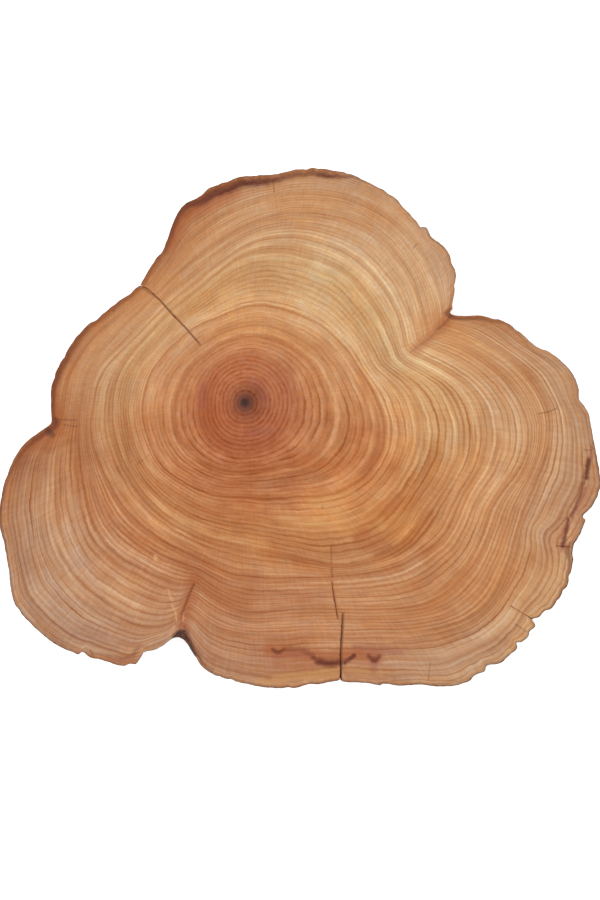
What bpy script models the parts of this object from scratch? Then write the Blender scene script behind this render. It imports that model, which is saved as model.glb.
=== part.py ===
"""Wood slice: a disc sawn across a lobed log, with its thin ridged bark and its drying cracks.

Metres, +Z up. The slice lies flat, its lower sawn face on z = 0, and the middle of its
outline's bounding box is on the Z axis. The outline is laid out in millimetres from a drawing
centre, looking down on the upper sawn face.
"""
import math

import bmesh
import bpy
import numpy as np

MM = 0.001

# Main sizes, in millimetres
THICKNESS = 28.0
RIM_COUNT = 324
PITH = (-27.7, 12.9)
PITH_RADIUS = 2.4
PITH_DEPTH = 1.2

# Bark: upright ridges that drift sideways down the wall, and a worn edge at each sawn face
WALL_LEVELS = (0.0, 1.2, 7.0, 14.0, 21.0, 26.8, 28.0)
RIDGE_DEPTH = 1.5
RIDGE_PITCH = 11.0
FIBRE_DEPTH = 0.6
FIBRE_PITCH = 6.6
EDGE_WEAR = 0.5
RIDGE_FADE = 6.0
RIDGE_DRIFT = 5.0
BARK_SEED = 7

# Cracks run right through the disc and lean sideways on the way down
CRACK_LEAN = 3.2
# How far each cut runs on past the bark, and past the sawn faces
MOUTH_OVERRUN = 3.0
FACE_OVERRUN = 2.0

# Outline of the upper face, clockwise from the upper-left crack
RIM = (
    (-80.0, 71.8), (-78.0, 75.5), (-75.5, 80.0), (-72.5, 84.5), (-69.0, 89.0), (-66.8, 94.0),
    (-65.0, 99.5), (-61.0, 108.5), (-57.5, 112.5), (-53.0, 114.5), (-49.0, 116.8), (-46.0, 120.0),
    (-41.0, 121.8), (-32.0, 125.5), (-26.5, 126.5), (-15.0, 127.0), (-8.5, 128.0), (-2.5, 129.5),
    (4.0, 130.2), (10.0, 130.2), (16.5, 129.0), (24.0, 127.8), (30.0, 125.3), (36.5, 122.3),
    (42.5, 118.8), (48.5, 114.8), (52.0, 110.3), (56.5, 106.0), (59.5, 102.2), (61.0, 100.7),
    (62.2, 101.0), (64.2, 99.8), (66.0, 96.0), (70.0, 93.2), (74.5, 88.0), (76.5, 82.5),
    (78.5, 77.5), (77.8, 72.0), (77.5, 67.5), (76.5, 61.5), (76.3, 59.4), (75.2, 58.0),
    (77.3, 56.5), (83.5, 56.3), (91.0, 56.5), (97.0, 54.6), (100.0, 54.4), (105.5, 51.8),
    (111.0, 47.5), (117.0, 42.0), (120.0, 40.0), (125.0, 38.3), (131.0, 33.5), (136.5, 27.5),
    (139.5, 20.5), (139.8, 14.5), (142.5, 11.0), (145.5, 6.0), (145.3, 3.5), (147.0, -5.0),
    (148.8, -14.0), (150.5, -21.0), (150.8, -28.0), (150.0, -32.0), (148.5, -35.5), (146.0, -39.5),
    (142.2, -43.5), (142.0, -45.2), (143.5, -45.9), (141.5, -51.0), (138.8, -56.5), (136.8, -60.0),
    (137.2, -67.0), (135.5, -73.5), (134.0, -79.0), (131.7, -81.3), (130.5, -84.5), (126.0, -90.3),
    (122.7, -91.6), (120.0, -94.8), (116.5, -95.8), (118.0, -99.0), (115.0, -102.0), (114.5, -104.0),
    (112.0, -107.0), (108.5, -107.6), (109.0, -110.0), (105.0, -114.0), (99.5, -118.2), (94.0, -119.1),
    (92.5, -122.0), (88.5, -123.3), (84.5, -127.0), (80.0, -128.5), (70.5, -129.8), (60.5, -128.5),
    (50.0, -129.2), (42.0, -128.1), (40.0, -129.0), (31.0, -127.8), (21.8, -127.0), (20.1, -126.1),
    (18.5, -126.8), (11.0, -128.0), (1.5, -129.3), (-3.5, -130.2), (-16.0, -130.0), (-25.0, -128.8),
    (-35.0, -126.2), (-43.0, -123.5), (-49.0, -119.5), (-52.8, -114.0), (-56.5, -108.5), (-59.5, -105.6),
    (-61.6, -105.0), (-64.0, -105.6), (-68.5, -109.0), (-72.5, -111.2), (-77.0, -112.0), (-79.5, -114.0),
    (-82.0, -118.2), (-85.0, -118.1), (-89.5, -119.5), (-97.0, -117.2), (-105.0, -114.8), (-108.0, -112.6),
    (-109.8, -112.4), (-111.2, -113.4), (-117.5, -111.2), (-125.0, -106.5), (-131.0, -101.5), (-136.5, -96.5),
    (-142.0, -90.0), (-144.5, -82.0), (-145.5, -73.5), (-147.0, -65.0), (-148.5, -57.5), (-150.2, -50.0),
    (-150.5, -41.0), (-149.5, -34.0), (-147.8, -26.5), (-145.5, -20.5), (-142.0, -13.0), (-137.5, -7.0),
    (-131.5, -2.5), (-126.5, 0.8), (-124.6, 2.6), (-124.5, 6.0), (-124.8, 14.0), (-124.5, 21.5),
    (-122.5, 27.5), (-119.5, 33.5), (-116.5, 39.0), (-113.0, 44.5), (-109.0, 49.0), (-105.0, 52.8),
    (-102.5, 53.9), (-98.5, 58.0), (-94.0, 61.5), (-86.5, 66.5), (-83.0, 70.0), (-81.2, 71.2),
)

# Cracks as (x, y, width) along their length, mouth first, in millimetres
CRACKS = {
    "upper_left_crack": ((-80.6, 71.6, 1.5), (-77.0, 70.0, 1.2), (-70.0, 64.0, 0.9), (-60.0, 53.0, 0.8),
                         (-51.0, 43.0, 0.35)),
    "bottom_crack": ((20.1, -126.4, 2.0), (20.4, -121.0, 1.5), (20.3, -113.5, 1.3), (21.0, -98.5, 1.0),
                     (18.3, -93.0, 0.6), (16.5, -81.0, 0.55), (15.5, -58.5, 0.3)),
    "lower_right_crack": ((116.6, -96.0, 1.0), (111.0, -92.4, 0.7), (105.5, -89.0, 0.3)),
}
# Ingrown bark between two lobes, a shallow seam in the upper face and the same below
SEAMS = {
    "right_seam": ((76.0, 57.6, 1.0), (69.0, 49.5, 0.9), (60.0, 41.5, 0.7), (55.0, 38.0, 0.3)),
    "left_seam": ((-60.3, -104.8, 1.2), (-59.0, -93.0, 0.9), (-56.5, -86.0, 0.7), (-53.2, -78.4, 0.3)),
}
SEAM_DEPTH = 1.6


def clear_objects():
    """Empties the scene."""
    for item in list(bpy.data.objects):
        bpy.data.objects.remove(item, do_unlink=True)


def closed_curve(points, count):
    """A closed curve through the points at even steps, with each step's length along and the whole.

    Between two points it is the cubic whose tangent at p[i] is (p[i+1] - p[i-1]) / 2.
    """
    nodes = np.array(points, float)
    before = np.roll(nodes, 1, axis=0)
    after = np.roll(nodes, -1, axis=0)
    second = np.roll(nodes, -2, axis=0)
    steps = np.linspace(0.0, 1.0, 24, endpoint=False)[:, None, None]
    tangent_a = 0.5 * (after - before)
    tangent_b = 0.5 * (second - nodes)
    fine = ((2 * steps**3 - 3 * steps**2 + 1) * nodes + (steps**3 - 2 * steps**2 + steps) * tangent_a
            + (3 * steps**2 - 2 * steps**3) * after + (steps**3 - steps**2) * tangent_b)
    fine = fine.transpose(1, 0, 2).reshape(-1, 2)
    loop = np.vstack((fine, fine[:1]))
    length = np.concatenate(([0.0], np.cumsum(np.hypot(*np.diff(loop, axis=0).T))))
    stops = np.linspace(0.0, length[-1], count, endpoint=False)
    x = np.interp(stops, length, loop[:, 0])
    y = np.interp(stops, length, loop[:, 1])
    return np.column_stack((x, y)), stops, length[-1]


def ridges(along, total, height):
    """Depth of the bark's furrows, 0 on a ridge to about 1 in a furrow.

    Two sets of waves round the rim, each a whole number of waves long, slide sideways with
    height and wander by slow seeded waves.
    """
    rng = np.random.default_rng(BARK_SEED)
    turn = 2.0 * math.pi * along / total
    wander = np.zeros_like(turn)
    for harmonic in (3, 5, 8, 13):
        wander = wander + rng.uniform(0.5, 1.4) * np.sin(harmonic * turn + rng.uniform(0.0, 6.28))
    lean = RIDGE_DRIFT * (height / THICKNESS) * np.sin(4.0 * turn + 1.0)
    coarse_count = round(total / RIDGE_PITCH)
    fibre_count = round(total / FIBRE_PITCH)
    coarse = 0.5 - 0.5 * np.cos(coarse_count * (turn + 2.0 * math.pi * lean / total) + wander)
    fibre = 0.5 - 0.5 * np.cos(fibre_count * turn - 1.7 * wander + 0.9 * height / THICKNESS)
    return coarse**1.5, fibre


def wall_loops(rim, along, total):
    """The rim at each level of the wall.

    Each level is pulled in towards the pith by the bark's furrows, which fade out over the last
    RIDGE_FADE below the upper face, and the lower edge also by its wear. The upper sawn edge
    stays on the drawn outline.
    """
    centre = np.array(PITH)
    arms = rim - centre
    reach = np.hypot(arms[:, 0], arms[:, 1])
    loops = []
    for height in WALL_LEVELS:
        coarse, fibre = ridges(along, total, height)
        share = min(1.0, (THICKNESS - height) / RIDGE_FADE)
        depth = share * (RIDGE_DEPTH * coarse + FIBRE_DEPTH * fibre)
        if height == 0.0:
            depth = depth + EDGE_WEAR
        loops.append(centre + arms * (1.0 - depth / reach)[:, None])
    return loops


def pith_loop(rim):
    """A small round the pith, one point on the arm of each rim point."""
    arms = rim - np.array(PITH)
    return np.array(PITH) + PITH_RADIUS * arms / np.hypot(arms[:, 0], arms[:, 1])[:, None]


def build_disc(shift):
    """The uncut disc: walls from the rim loops, and faces as rings of triangles to the pith."""
    rim, along, total = closed_curve(RIM, RIM_COUNT)
    loops = wall_loops(rim, along, total)
    mesh = bmesh.new()

    def add_loop(points, height):
        return [mesh.verts.new(((x + shift[0]) * MM, (y + shift[1]) * MM, height * MM)) for x, y in points]

    def add_band(lower, upper):
        for i in range(len(lower)):
            j = (i + 1) % len(lower)
            mesh.faces.new((lower[i], upper[i], upper[j], lower[j]))

    def add_tip(loop, tip, upward):
        for i in range(len(loop)):
            j = (i + 1) % len(loop)
            corner = (loop[j], loop[i], tip) if not upward else (loop[i], loop[j], tip)
            mesh.faces.new(corner)

    rows = [add_loop(points, height) for points, height in zip(loops, WALL_LEVELS)]
    for lower, upper in zip(rows[:-1], rows[1:]):
        add_band(lower, upper)
    step = 9
    ring = pith_loop(rim)[::step]
    low_ring = add_loop(ring, 0.0)
    top_ring = add_loop(ring, THICKNESS)
    for outer, inner in ((rows[0], low_ring), (rows[-1], top_ring)):
        for k in range(len(inner)):
            nxt = (k + 1) % len(inner)
            first = k * step
            stops = [(first + m) % RIM_COUNT for m in range(step + 1)]
            for a, b in zip(stops[:-1], stops[1:]):
                mesh.faces.new((outer[a], outer[b], inner[k]))
            mesh.faces.new((outer[stops[-1]], inner[nxt], inner[k]))
    low_tip = mesh.verts.new(((PITH[0] + shift[0]) * MM, (PITH[1] + shift[1]) * MM, PITH_DEPTH * MM))
    top_tip = mesh.verts.new(((PITH[0] + shift[0]) * MM, (PITH[1] + shift[1]) * MM,
                              (THICKNESS - PITH_DEPTH) * MM))
    add_tip(low_ring, low_tip, False)
    add_tip(top_ring, top_tip, True)
    bmesh.ops.recalc_face_normals(mesh, faces=mesh.faces[:])
    bmesh.ops.triangulate(mesh, faces=mesh.faces[:])
    data = bpy.data.meshes.new("wood_slice")
    mesh.to_mesh(data)
    mesh.free()
    disc = bpy.data.objects.new("wood_slice", data)
    bpy.context.scene.collection.objects.link(disc)
    return disc


def blade(name, path, shift, low, high, lean):
    """A thin wedge along a crack from low to high, pushed sideways by lean at the lower face."""
    line = np.array(path, float)
    heading = line[0, :2] - line[1, :2]
    heading = heading / np.hypot(heading[0], heading[1])
    outside = np.concatenate((line[0, :2] + MOUTH_OVERRUN * heading, [line[0, 2] * 1.25]))
    line = np.vstack((outside, line))
    tangent = np.gradient(line[:, :2], axis=0)
    tangent = tangent / np.hypot(tangent[:, 0], tangent[:, 1])[:, None]
    normal = np.column_stack((-tangent[:, 1], tangent[:, 0]))
    chord = line[-1, :2] - line[0, :2]
    chord = chord / np.hypot(chord[0], chord[1])
    side = np.array((-chord[1], chord[0]))
    mesh = bmesh.new()
    layers = []
    for height in (low, high):
        slide = side * lean * (THICKNESS - height) / THICKNESS
        left = line[:, :2] + normal * line[:, 2:] / 2.0 + slide + shift
        right = line[:, :2] - normal * line[:, 2:] / 2.0 + slide + shift
        outline = np.vstack((left, right[::-1]))
        layers.append([mesh.verts.new((x * MM, y * MM, height * MM)) for x, y in outline])
    count = len(layers[0])
    for i in range(count):
        j = (i + 1) % count
        mesh.faces.new((layers[0][i], layers[0][j], layers[1][j], layers[1][i]))
    for layer in layers:
        for k in range(count // 2 - 1):
            mesh.faces.new((layer[k], layer[k + 1], layer[count - 2 - k], layer[count - 1 - k]))
    bmesh.ops.triangulate(mesh, faces=mesh.faces[:])
    bmesh.ops.recalc_face_normals(mesh, faces=mesh.faces[:])
    data = bpy.data.meshes.new(name)
    mesh.to_mesh(data)
    mesh.free()
    cutter = bpy.data.objects.new(name, data)
    bpy.context.scene.collection.objects.link(cutter)
    cutter.hide_render = True
    cutter.display_type = "WIRE"
    return cutter


def cut(target, cutter):
    """Cuts one blade out of the disc."""
    change = target.modifiers.new(cutter.name, "BOOLEAN")
    change.operation = "DIFFERENCE"
    change.solver = "EXACT"
    change.object = cutter


def wood_material():
    """Warm sawn wood."""
    material = bpy.data.materials.new("wood")
    material.use_nodes = True
    shader = material.node_tree.nodes["Principled BSDF"]
    shader.inputs["Base Color"].default_value = (0.58, 0.31, 0.15, 1.0)
    shader.inputs["Roughness"].default_value = 0.72
    return material


def main():
    clear_objects()
    rim, _, _ = closed_curve(RIM, RIM_COUNT)
    shift = -0.5 * (rim.min(axis=0) + rim.max(axis=0))
    disc = build_disc(shift)
    disc.data.materials.append(wood_material())
    below = -FACE_OVERRUN
    above = THICKNESS + FACE_OVERRUN
    for name, path in CRACKS.items():
        cut(disc, blade(name, path, shift, below, above, CRACK_LEAN))
    for name, path in SEAMS.items():
        cut(disc, blade(name + "_upper", path, shift, THICKNESS - SEAM_DEPTH, above, 0.0))
        cut(disc, blade(name + "_lower", path, shift, below, SEAM_DEPTH, 0.0))


main()
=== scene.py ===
"""The looks of a wood slice: a disc sawn across a lobed log, with its growth rings, cracks and bark.

The slice is laid out in millimetres, looking down on the upper sawn face, in polar form round
the pith: a bearing in degrees, anticlockwise from +X, and a radius. The age of the wood runs
from 0 at the pith to RIM_AGE at the bark.
"""
import math

import bmesh
import bpy
import numpy as np
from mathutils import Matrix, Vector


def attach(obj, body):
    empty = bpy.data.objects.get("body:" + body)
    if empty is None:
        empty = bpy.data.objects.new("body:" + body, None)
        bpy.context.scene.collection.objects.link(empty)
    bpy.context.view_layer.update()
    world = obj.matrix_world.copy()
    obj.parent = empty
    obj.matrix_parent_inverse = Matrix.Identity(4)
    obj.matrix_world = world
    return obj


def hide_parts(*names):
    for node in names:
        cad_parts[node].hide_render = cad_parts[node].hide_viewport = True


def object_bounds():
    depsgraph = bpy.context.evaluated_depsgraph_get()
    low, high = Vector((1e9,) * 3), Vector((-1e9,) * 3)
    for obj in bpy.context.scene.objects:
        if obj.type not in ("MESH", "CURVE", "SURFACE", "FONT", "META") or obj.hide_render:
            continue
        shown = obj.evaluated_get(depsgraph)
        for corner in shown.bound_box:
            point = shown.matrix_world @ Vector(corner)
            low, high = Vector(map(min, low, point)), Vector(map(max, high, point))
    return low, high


bl_info = {
    "name": "Wood slice",
    "version": (1, 0, 0),
    "blender": (4, 5, 0),
    "location": "View3D > Sidebar > Wood slice",
    "description": "Builds a sawn disc of a lobed log with its rings, cracks and bark, and its studio",
    "category": "Add Mesh",
}

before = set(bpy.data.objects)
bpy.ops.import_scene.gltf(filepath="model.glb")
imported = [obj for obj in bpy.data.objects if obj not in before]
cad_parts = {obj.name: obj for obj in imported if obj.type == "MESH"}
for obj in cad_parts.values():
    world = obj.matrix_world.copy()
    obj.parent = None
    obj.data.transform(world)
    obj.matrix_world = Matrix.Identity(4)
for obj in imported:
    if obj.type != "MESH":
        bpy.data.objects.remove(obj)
CAD_BOX = [list(corner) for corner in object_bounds()]
MM = 0.001
THICKNESS = (CAD_BOX[1][2] - CAD_BOX[0][2]) / MM
PITH = (-27.6, 12.8)

# Outline of the upper face, clockwise from the upper-left crack
RIM = (
    (-80, 71.8), (-78, 75.5), (-75.5, 80), (-72.5, 84.5), (-69, 89), (-66.8, 94), (-65, 99.5), (-61, 108.5),
    (-57.5, 112.5), (-53, 114.5), (-49, 116.8), (-46, 120), (-41, 121.8), (-32, 125.5), (-26.5, 126.5),
    (-15, 127), (-8.5, 128), (-2.5, 129.5), (4, 130.2), (10, 130.2), (16.5, 129), (24, 127.8), (30, 125.3),
    (36.5, 122.3), (42.5, 118.8), (48.5, 114.8), (52, 110.3), (56.5, 106), (59.5, 102.2), (61, 100.7),
    (62.2, 101), (64.2, 99.8), (66, 96), (70, 93.2), (74.5, 88), (76.5, 82.5), (78.5, 77.5), (77.8, 72),
    (77.5, 67.5), (76.5, 61.5), (76.3, 59.4), (75.2, 58), (77.3, 56.5), (83.5, 56.3), (91, 56.5), (97, 54.6),
    (100, 54.4), (105.5, 51.8), (111, 47.5), (117, 42), (120, 40), (125, 38.3), (131, 33.5), (136.5, 27.5),
    (139.5, 20.5), (139.8, 14.5), (142.5, 11), (145.5, 6), (145.3, 3.5), (147, -5), (148.8, -14),
    (150.5, -21), (150.8, -28), (150, -32), (148.5, -35.5), (146, -39.5), (142.2, -43.5), (142, -45.2),
    (143.5, -45.9), (141.5, -51), (138.8, -56.5), (136.8, -60), (137.2, -67), (135.5, -73.5), (134, -79),
    (131.7, -81.3), (130.5, -84.5), (126, -90.3), (122.7, -91.6), (120, -94.8), (116.5, -95.8), (118, -99),
    (115, -102), (114.5, -104), (112, -107), (108.5, -107.6), (109, -110), (105, -114), (99.5, -118.2),
    (94, -119.1), (92.5, -122), (88.5, -123.3), (84.5, -127), (80, -128.5), (70.5, -129.8), (60.5, -128.5),
    (50, -129.2), (42, -128.1), (40, -129), (31, -127.8), (21.8, -127), (20.1, -126.1), (18.5, -126.8),
    (11, -128), (1.5, -129.3), (-3.5, -130.2), (-16, -130), (-25, -128.8), (-35, -126.2), (-43, -123.5),
    (-49, -119.5), (-52.8, -114), (-56.5, -108.5), (-59.5, -105.6), (-61.6, -105), (-64, -105.6),
    (-68.5, -109), (-72.5, -111.2), (-77, -112), (-79.5, -114), (-82, -118.2), (-85, -118.1), (-89.5, -119.5),
    (-97, -117.2), (-105, -114.8), (-108, -112.6), (-109.8, -112.4), (-111.2, -113.4), (-117.5, -111.2),
    (-125, -106.5), (-131, -101.5), (-136.5, -96.5), (-142, -90), (-144.5, -82), (-145.5, -73.5), (-147, -65),
    (-148.5, -57.5), (-150.2, -50), (-150.5, -41), (-149.5, -34), (-147.8, -26.5), (-145.5, -20.5),
    (-142, -13), (-137.5, -7), (-131.5, -2.5), (-126.5, 0.8), (-124.6, 2.6), (-124.5, 6), (-124.8, 14),
    (-124.5, 21.5), (-122.5, 27.5), (-119.5, 33.5), (-116.5, 39), (-113, 44.5), (-109, 49), (-105, 52.8),
    (-102.5, 53.9), (-98.5, 58), (-94, 61.5), (-86.5, 66.5), (-83, 70), (-81.2, 71.2),
)
# Even steps in which the outline is read along its length, and then by bearing
OUTLINE_STEPS = 6000
FINE_BEARINGS = 7200
# Small bites in the outline, as (spacing, depth)
BITES = ((6.3, 0.3), (2.9, 0.6))
BITE_SEED = 11

# Spacing of the bark's ridges, strands and hairs round the rim, and the depth of the hairs
RIDGE_PITCH = 11.0
STRAND_PITCH = 6.6
HAIR_PITCH = 3.4
HAIR_DEPTH = 0.35
# How far a ridge slides sideways between the lower edge and the upper
RIDGE_DRIFT = 5.0
# How far below the upper edge the furrows reach their depth, and how far up the lower edge is worn
RIDGE_FADE = 6.0
WORN_HEIGHT = 1.5
BARK_SEED = 7

# Growth rings followed round the face, as (bearing, radius), under their age
RINGS = {
    9: (
        (0, 24.5), (60, 24.5), (90, 24), (120, 23), (150, 21.8), (180, 21.2), (210, 23), (240, 24.6),
        (270, 24.6), (300, 24.8), (330, 24.6),
    ),
    13: (
        (0, 42.2), (10, 40.5), (20, 39.8), (30, 38.8), (40, 37.2), (50, 36.2), (60, 35.2), (80, 34),
        (100, 32.2), (120, 31.2), (140, 31.8), (160, 33), (180, 35.2), (200, 37), (220, 37.8), (240, 36.8),
        (260, 36), (280, 35), (290, 35.8), (300, 37), (310, 39.8), (320, 42), (330, 43.2), (345, 43.4),
    ),
    19: (
        (0, 66.5), (5, 64.2), (10, 62), (15, 60.2), (20, 58.8), (30, 56.8), (40, 55), (50, 53), (60, 51),
        (70, 50), (80, 49), (90, 47.5), (100, 45.5), (110, 44.5), (120, 45), (140, 45.8), (150, 47),
        (160, 48.8), (170, 50), (180, 51.2), (200, 51.8), (220, 51.8), (230, 50.2), (250, 48.8), (270, 47.5),
        (280, 48.8), (290, 51), (300, 54.2), (305, 57), (310, 60.5), (315, 64), (320, 66.8), (325, 69),
        (330, 71), (335, 72.2), (340, 72.5), (350, 71),
    ),
    28: (
        (0, 103.5), (5, 98.5), (10, 88), (13, 83), (15, 80.5), (20, 79.5), (30, 80), (40, 80.5), (50, 82),
        (60, 80.8), (70, 79.2), (80, 77.2), (85, 75.5), (90, 73.5), (95, 70.5), (100, 67), (105, 64.8),
        (110, 61.8), (115, 60.2), (120, 59.5), (140, 58.2), (150, 59.5), (160, 62.5), (170, 65), (180, 66.2),
        (200, 67.2), (220, 67.8), (240, 69), (260, 70.5), (270, 72), (275, 73.5), (280, 75.8), (285, 79),
        (290, 83.2), (295, 88.5), (300, 94.5), (305, 98), (310, 102), (315, 105), (320, 106.5), (330, 106),
        (335, 107), (340, 108.5), (345, 110), (350, 109.2), (355, 107.5),
    ),
    32: (
        (0, 118.2), (2.5, 115), (5, 110.5), (7.5, 105.5), (10, 99.5), (12.5, 94), (15, 88.5), (17, 86),
        (20, 85.2), (25, 86.5), (30, 88), (40, 89.5), (50, 90.5), (60, 89.2), (70, 87), (75, 85.5),
        (80, 83.5), (85, 81.2), (90, 77.8), (95, 74), (100, 70.5), (105, 68), (110, 65.5), (120, 63),
        (140, 62), (150, 63.5), (155, 65.5), (160, 68), (165, 71), (170, 73.5), (180, 75.5), (190, 78.5),
        (200, 78.8), (210, 79), (220, 80.2), (240, 80.5), (250, 80.8), (255, 82), (260, 84), (265, 85.8),
        (270, 87), (280, 89.5), (290, 93.2), (295, 96.5), (300, 100), (305, 104.5), (310, 109.5),
        (315, 113.5), (320, 116.5), (325, 119.5), (330, 120), (335, 118.2), (340, 120), (345, 122.5),
        (350, 123.2), (355, 121.5),
    ),
    38: (
        (0, 139.5), (5, 131.5), (10, 122), (15, 110), (18, 102), (19.8, 98.5), (22, 98.8), (25, 99.5),
        (30, 101.5), (35, 103.8), (40, 104.8), (50, 106.5), (60, 104.5), (70, 100.2), (80, 95), (85, 91.5),
        (90, 88), (95, 84), (100, 80.5), (110, 75), (120, 71.8), (130, 70), (140, 70), (150, 72), (160, 76),
        (170, 80), (180, 81.5), (190, 83.5), (200, 86.5), (205, 88.5), (210, 91), (215, 94), (220, 96.5),
        (225, 98), (230, 97.8), (240, 96.5), (245, 96.5), (250, 95.5), (254.3, 94.2), (257, 95.5), (260, 98),
        (265, 101.8), (270, 104.2), (280, 105.2), (285, 106.5), (290, 109), (295, 113.5), (300, 119),
        (305, 125.5), (310, 132.5), (315, 137.5), (320, 139), (325, 139.5), (330, 138), (335, 136.8),
        (338, 136), (341, 138), (345, 142), (350, 145), (355, 144),
    ),
    44: (
        (0, 150.5), (5, 142.5), (10, 132), (15, 121.5), (18, 114.5), (20, 109), (21.3, 105.5), (23, 107),
        (25, 109), (30, 111.5), (35, 113.5), (40, 114.8), (50, 116.5), (60, 114.5), (65, 113), (70, 110.5),
        (75, 108), (80, 104.5), (90, 97.5), (100, 90.5), (110, 84), (115, 80), (120, 76.5), (125, 74),
        (130, 72.5), (135, 72.5), (140, 74), (150, 78), (160, 83.5), (170, 88), (175, 89.5), (185, 91.5),
        (188, 94), (190, 96.5), (195, 102), (200, 106.5), (205, 111), (210, 116), (215, 120.5), (220, 123.2),
        (225, 125.2), (230, 126.2), (240, 125.5), (245, 124.5), (248, 122.5), (250, 120), (252, 115.5),
        (254, 107.5), (256, 107), (258, 108.5), (261, 112), (265, 114.5), (270, 115.8), (280, 118),
        (285, 119.5), (290, 123), (295, 127.5), (300, 133), (305, 140.5), (310, 148), (315, 154.5),
        (317, 156.5), (320, 157.8), (325, 155.8), (330, 153), (335, 150.5), (340, 148.8), (345, 150.5),
        (350, 152.5),
    ),
}
RIM_AGE = 52
# The ring nearest the bark: its age, and how far it lies from the last followed ring towards the rim
BARK_RING_AGE = 49
BARK_RING_SHARE = 0.65
# Degrees over which the followed rings and the ring nearest the bark are averaged
RING_EASE = 6.0
BARK_RING_EASE = 3.0
# Growth rings and finer lines in each unit of age
RINGS_PER_AGE = 1.25
FINE_LINES_PER_AGE = 2.3
# Ages that stand out pale or dark all round the face, as (age, tone)
RING_TONES = (
    (3.5, 0), (6, 0.06), (8, -0.06), (9.1, -0.1), (10.6, 0.1), (12.6, -0.06), (13, -0.3), (13.5, 0.22),
    (15.2, -0.12), (18.3, 0.18), (19, -0.34), (19.5, 0.16), (21.9, 0.14), (24.5, -0.1), (26.5, -0.02),
    (27.1, 0.26), (28.2, -0.2), (30.2, 0.18), (31.5, 0.06), (32.1, -0.26), (32.9, 0.2), (34.8, -0.1),
    (36.8, 0.06), (38.2, -0.2), (39.6, 0.02), (43.4, 0.1), (44.2, -0.14), (45.6, 0.04), (48, 0.02),
    (50, -0.1),
)
# Bearings of the two seams where the lobes meet
SEAMS = (19.0, 254.0)
# Where the outer rings fold inward above the lower-right lobe: bearing, half-width, depth
FOLD = (336.0, 2.6, 5.0)
# Narrowest gap between two followed rings
RING_GAP = 0.5
# Ages of the grid's rows: those round the pith, where the even rows start, and the last one
TOP_CORE_AGES = (0.35, 0.8)
TOP_START_AGE = 1.4
BASE_CORE_AGES = (0.8,)
BASE_START_AGE = 1.8
EDGE_AGE = RIM_AGE - 0.15

# Cracks right through the disc as (x, y, width), mouth first
CRACKS = {
    "upper_left_crack": (
        (-80.6, 71.6, 0.4), (-77, 70.2, 0.26), (-74.6, 68.4, 0.2), (-70, 63.9, 0.16), (-65, 58, 0.17),
        (-60, 52.9, 0.12), (-56.5, 49.5, 0.09), (-51, 43, 0.05),
    ),
    "bottom_crack": (
        (20.1, -126.4, 0.6), (20.5, -121, 0.38), (20.2, -113.5, 0.32), (20.6, -106, 0.28), (21, -98.5, 0.22),
        (21.3, -93.5, 0.1),
    ),
    "bottom_inner_crack": (
        (18.6, -94.5, 0.08), (18, -90, 0.12), (17, -85, 0.1), (16.5, -81, 0.12), (16, -77.5, 0.06),
    ),
    "lower_right_crack": (
        (116.6, -96, 0.35), (113.5, -93.7, 0.1), (111, -92.4, 0.07), (105.5, -89, 0.04),
    ),
}
CRACKS_FROM_RIM = ("upper_left_crack", "bottom_crack", "lower_right_crack")
# How far a cut runs on past the bark, how much wider it is there, and how far past the sawn faces
MOUTH_OVERRUN = 3.0
MOUTH_FLARE = 1.25
FACE_OVERRUN = 2.0
# Step between the points of a cut, and how many outlines it has from top to bottom
CRACK_STEP = 1.2
CUT_LAYERS = 7

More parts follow.
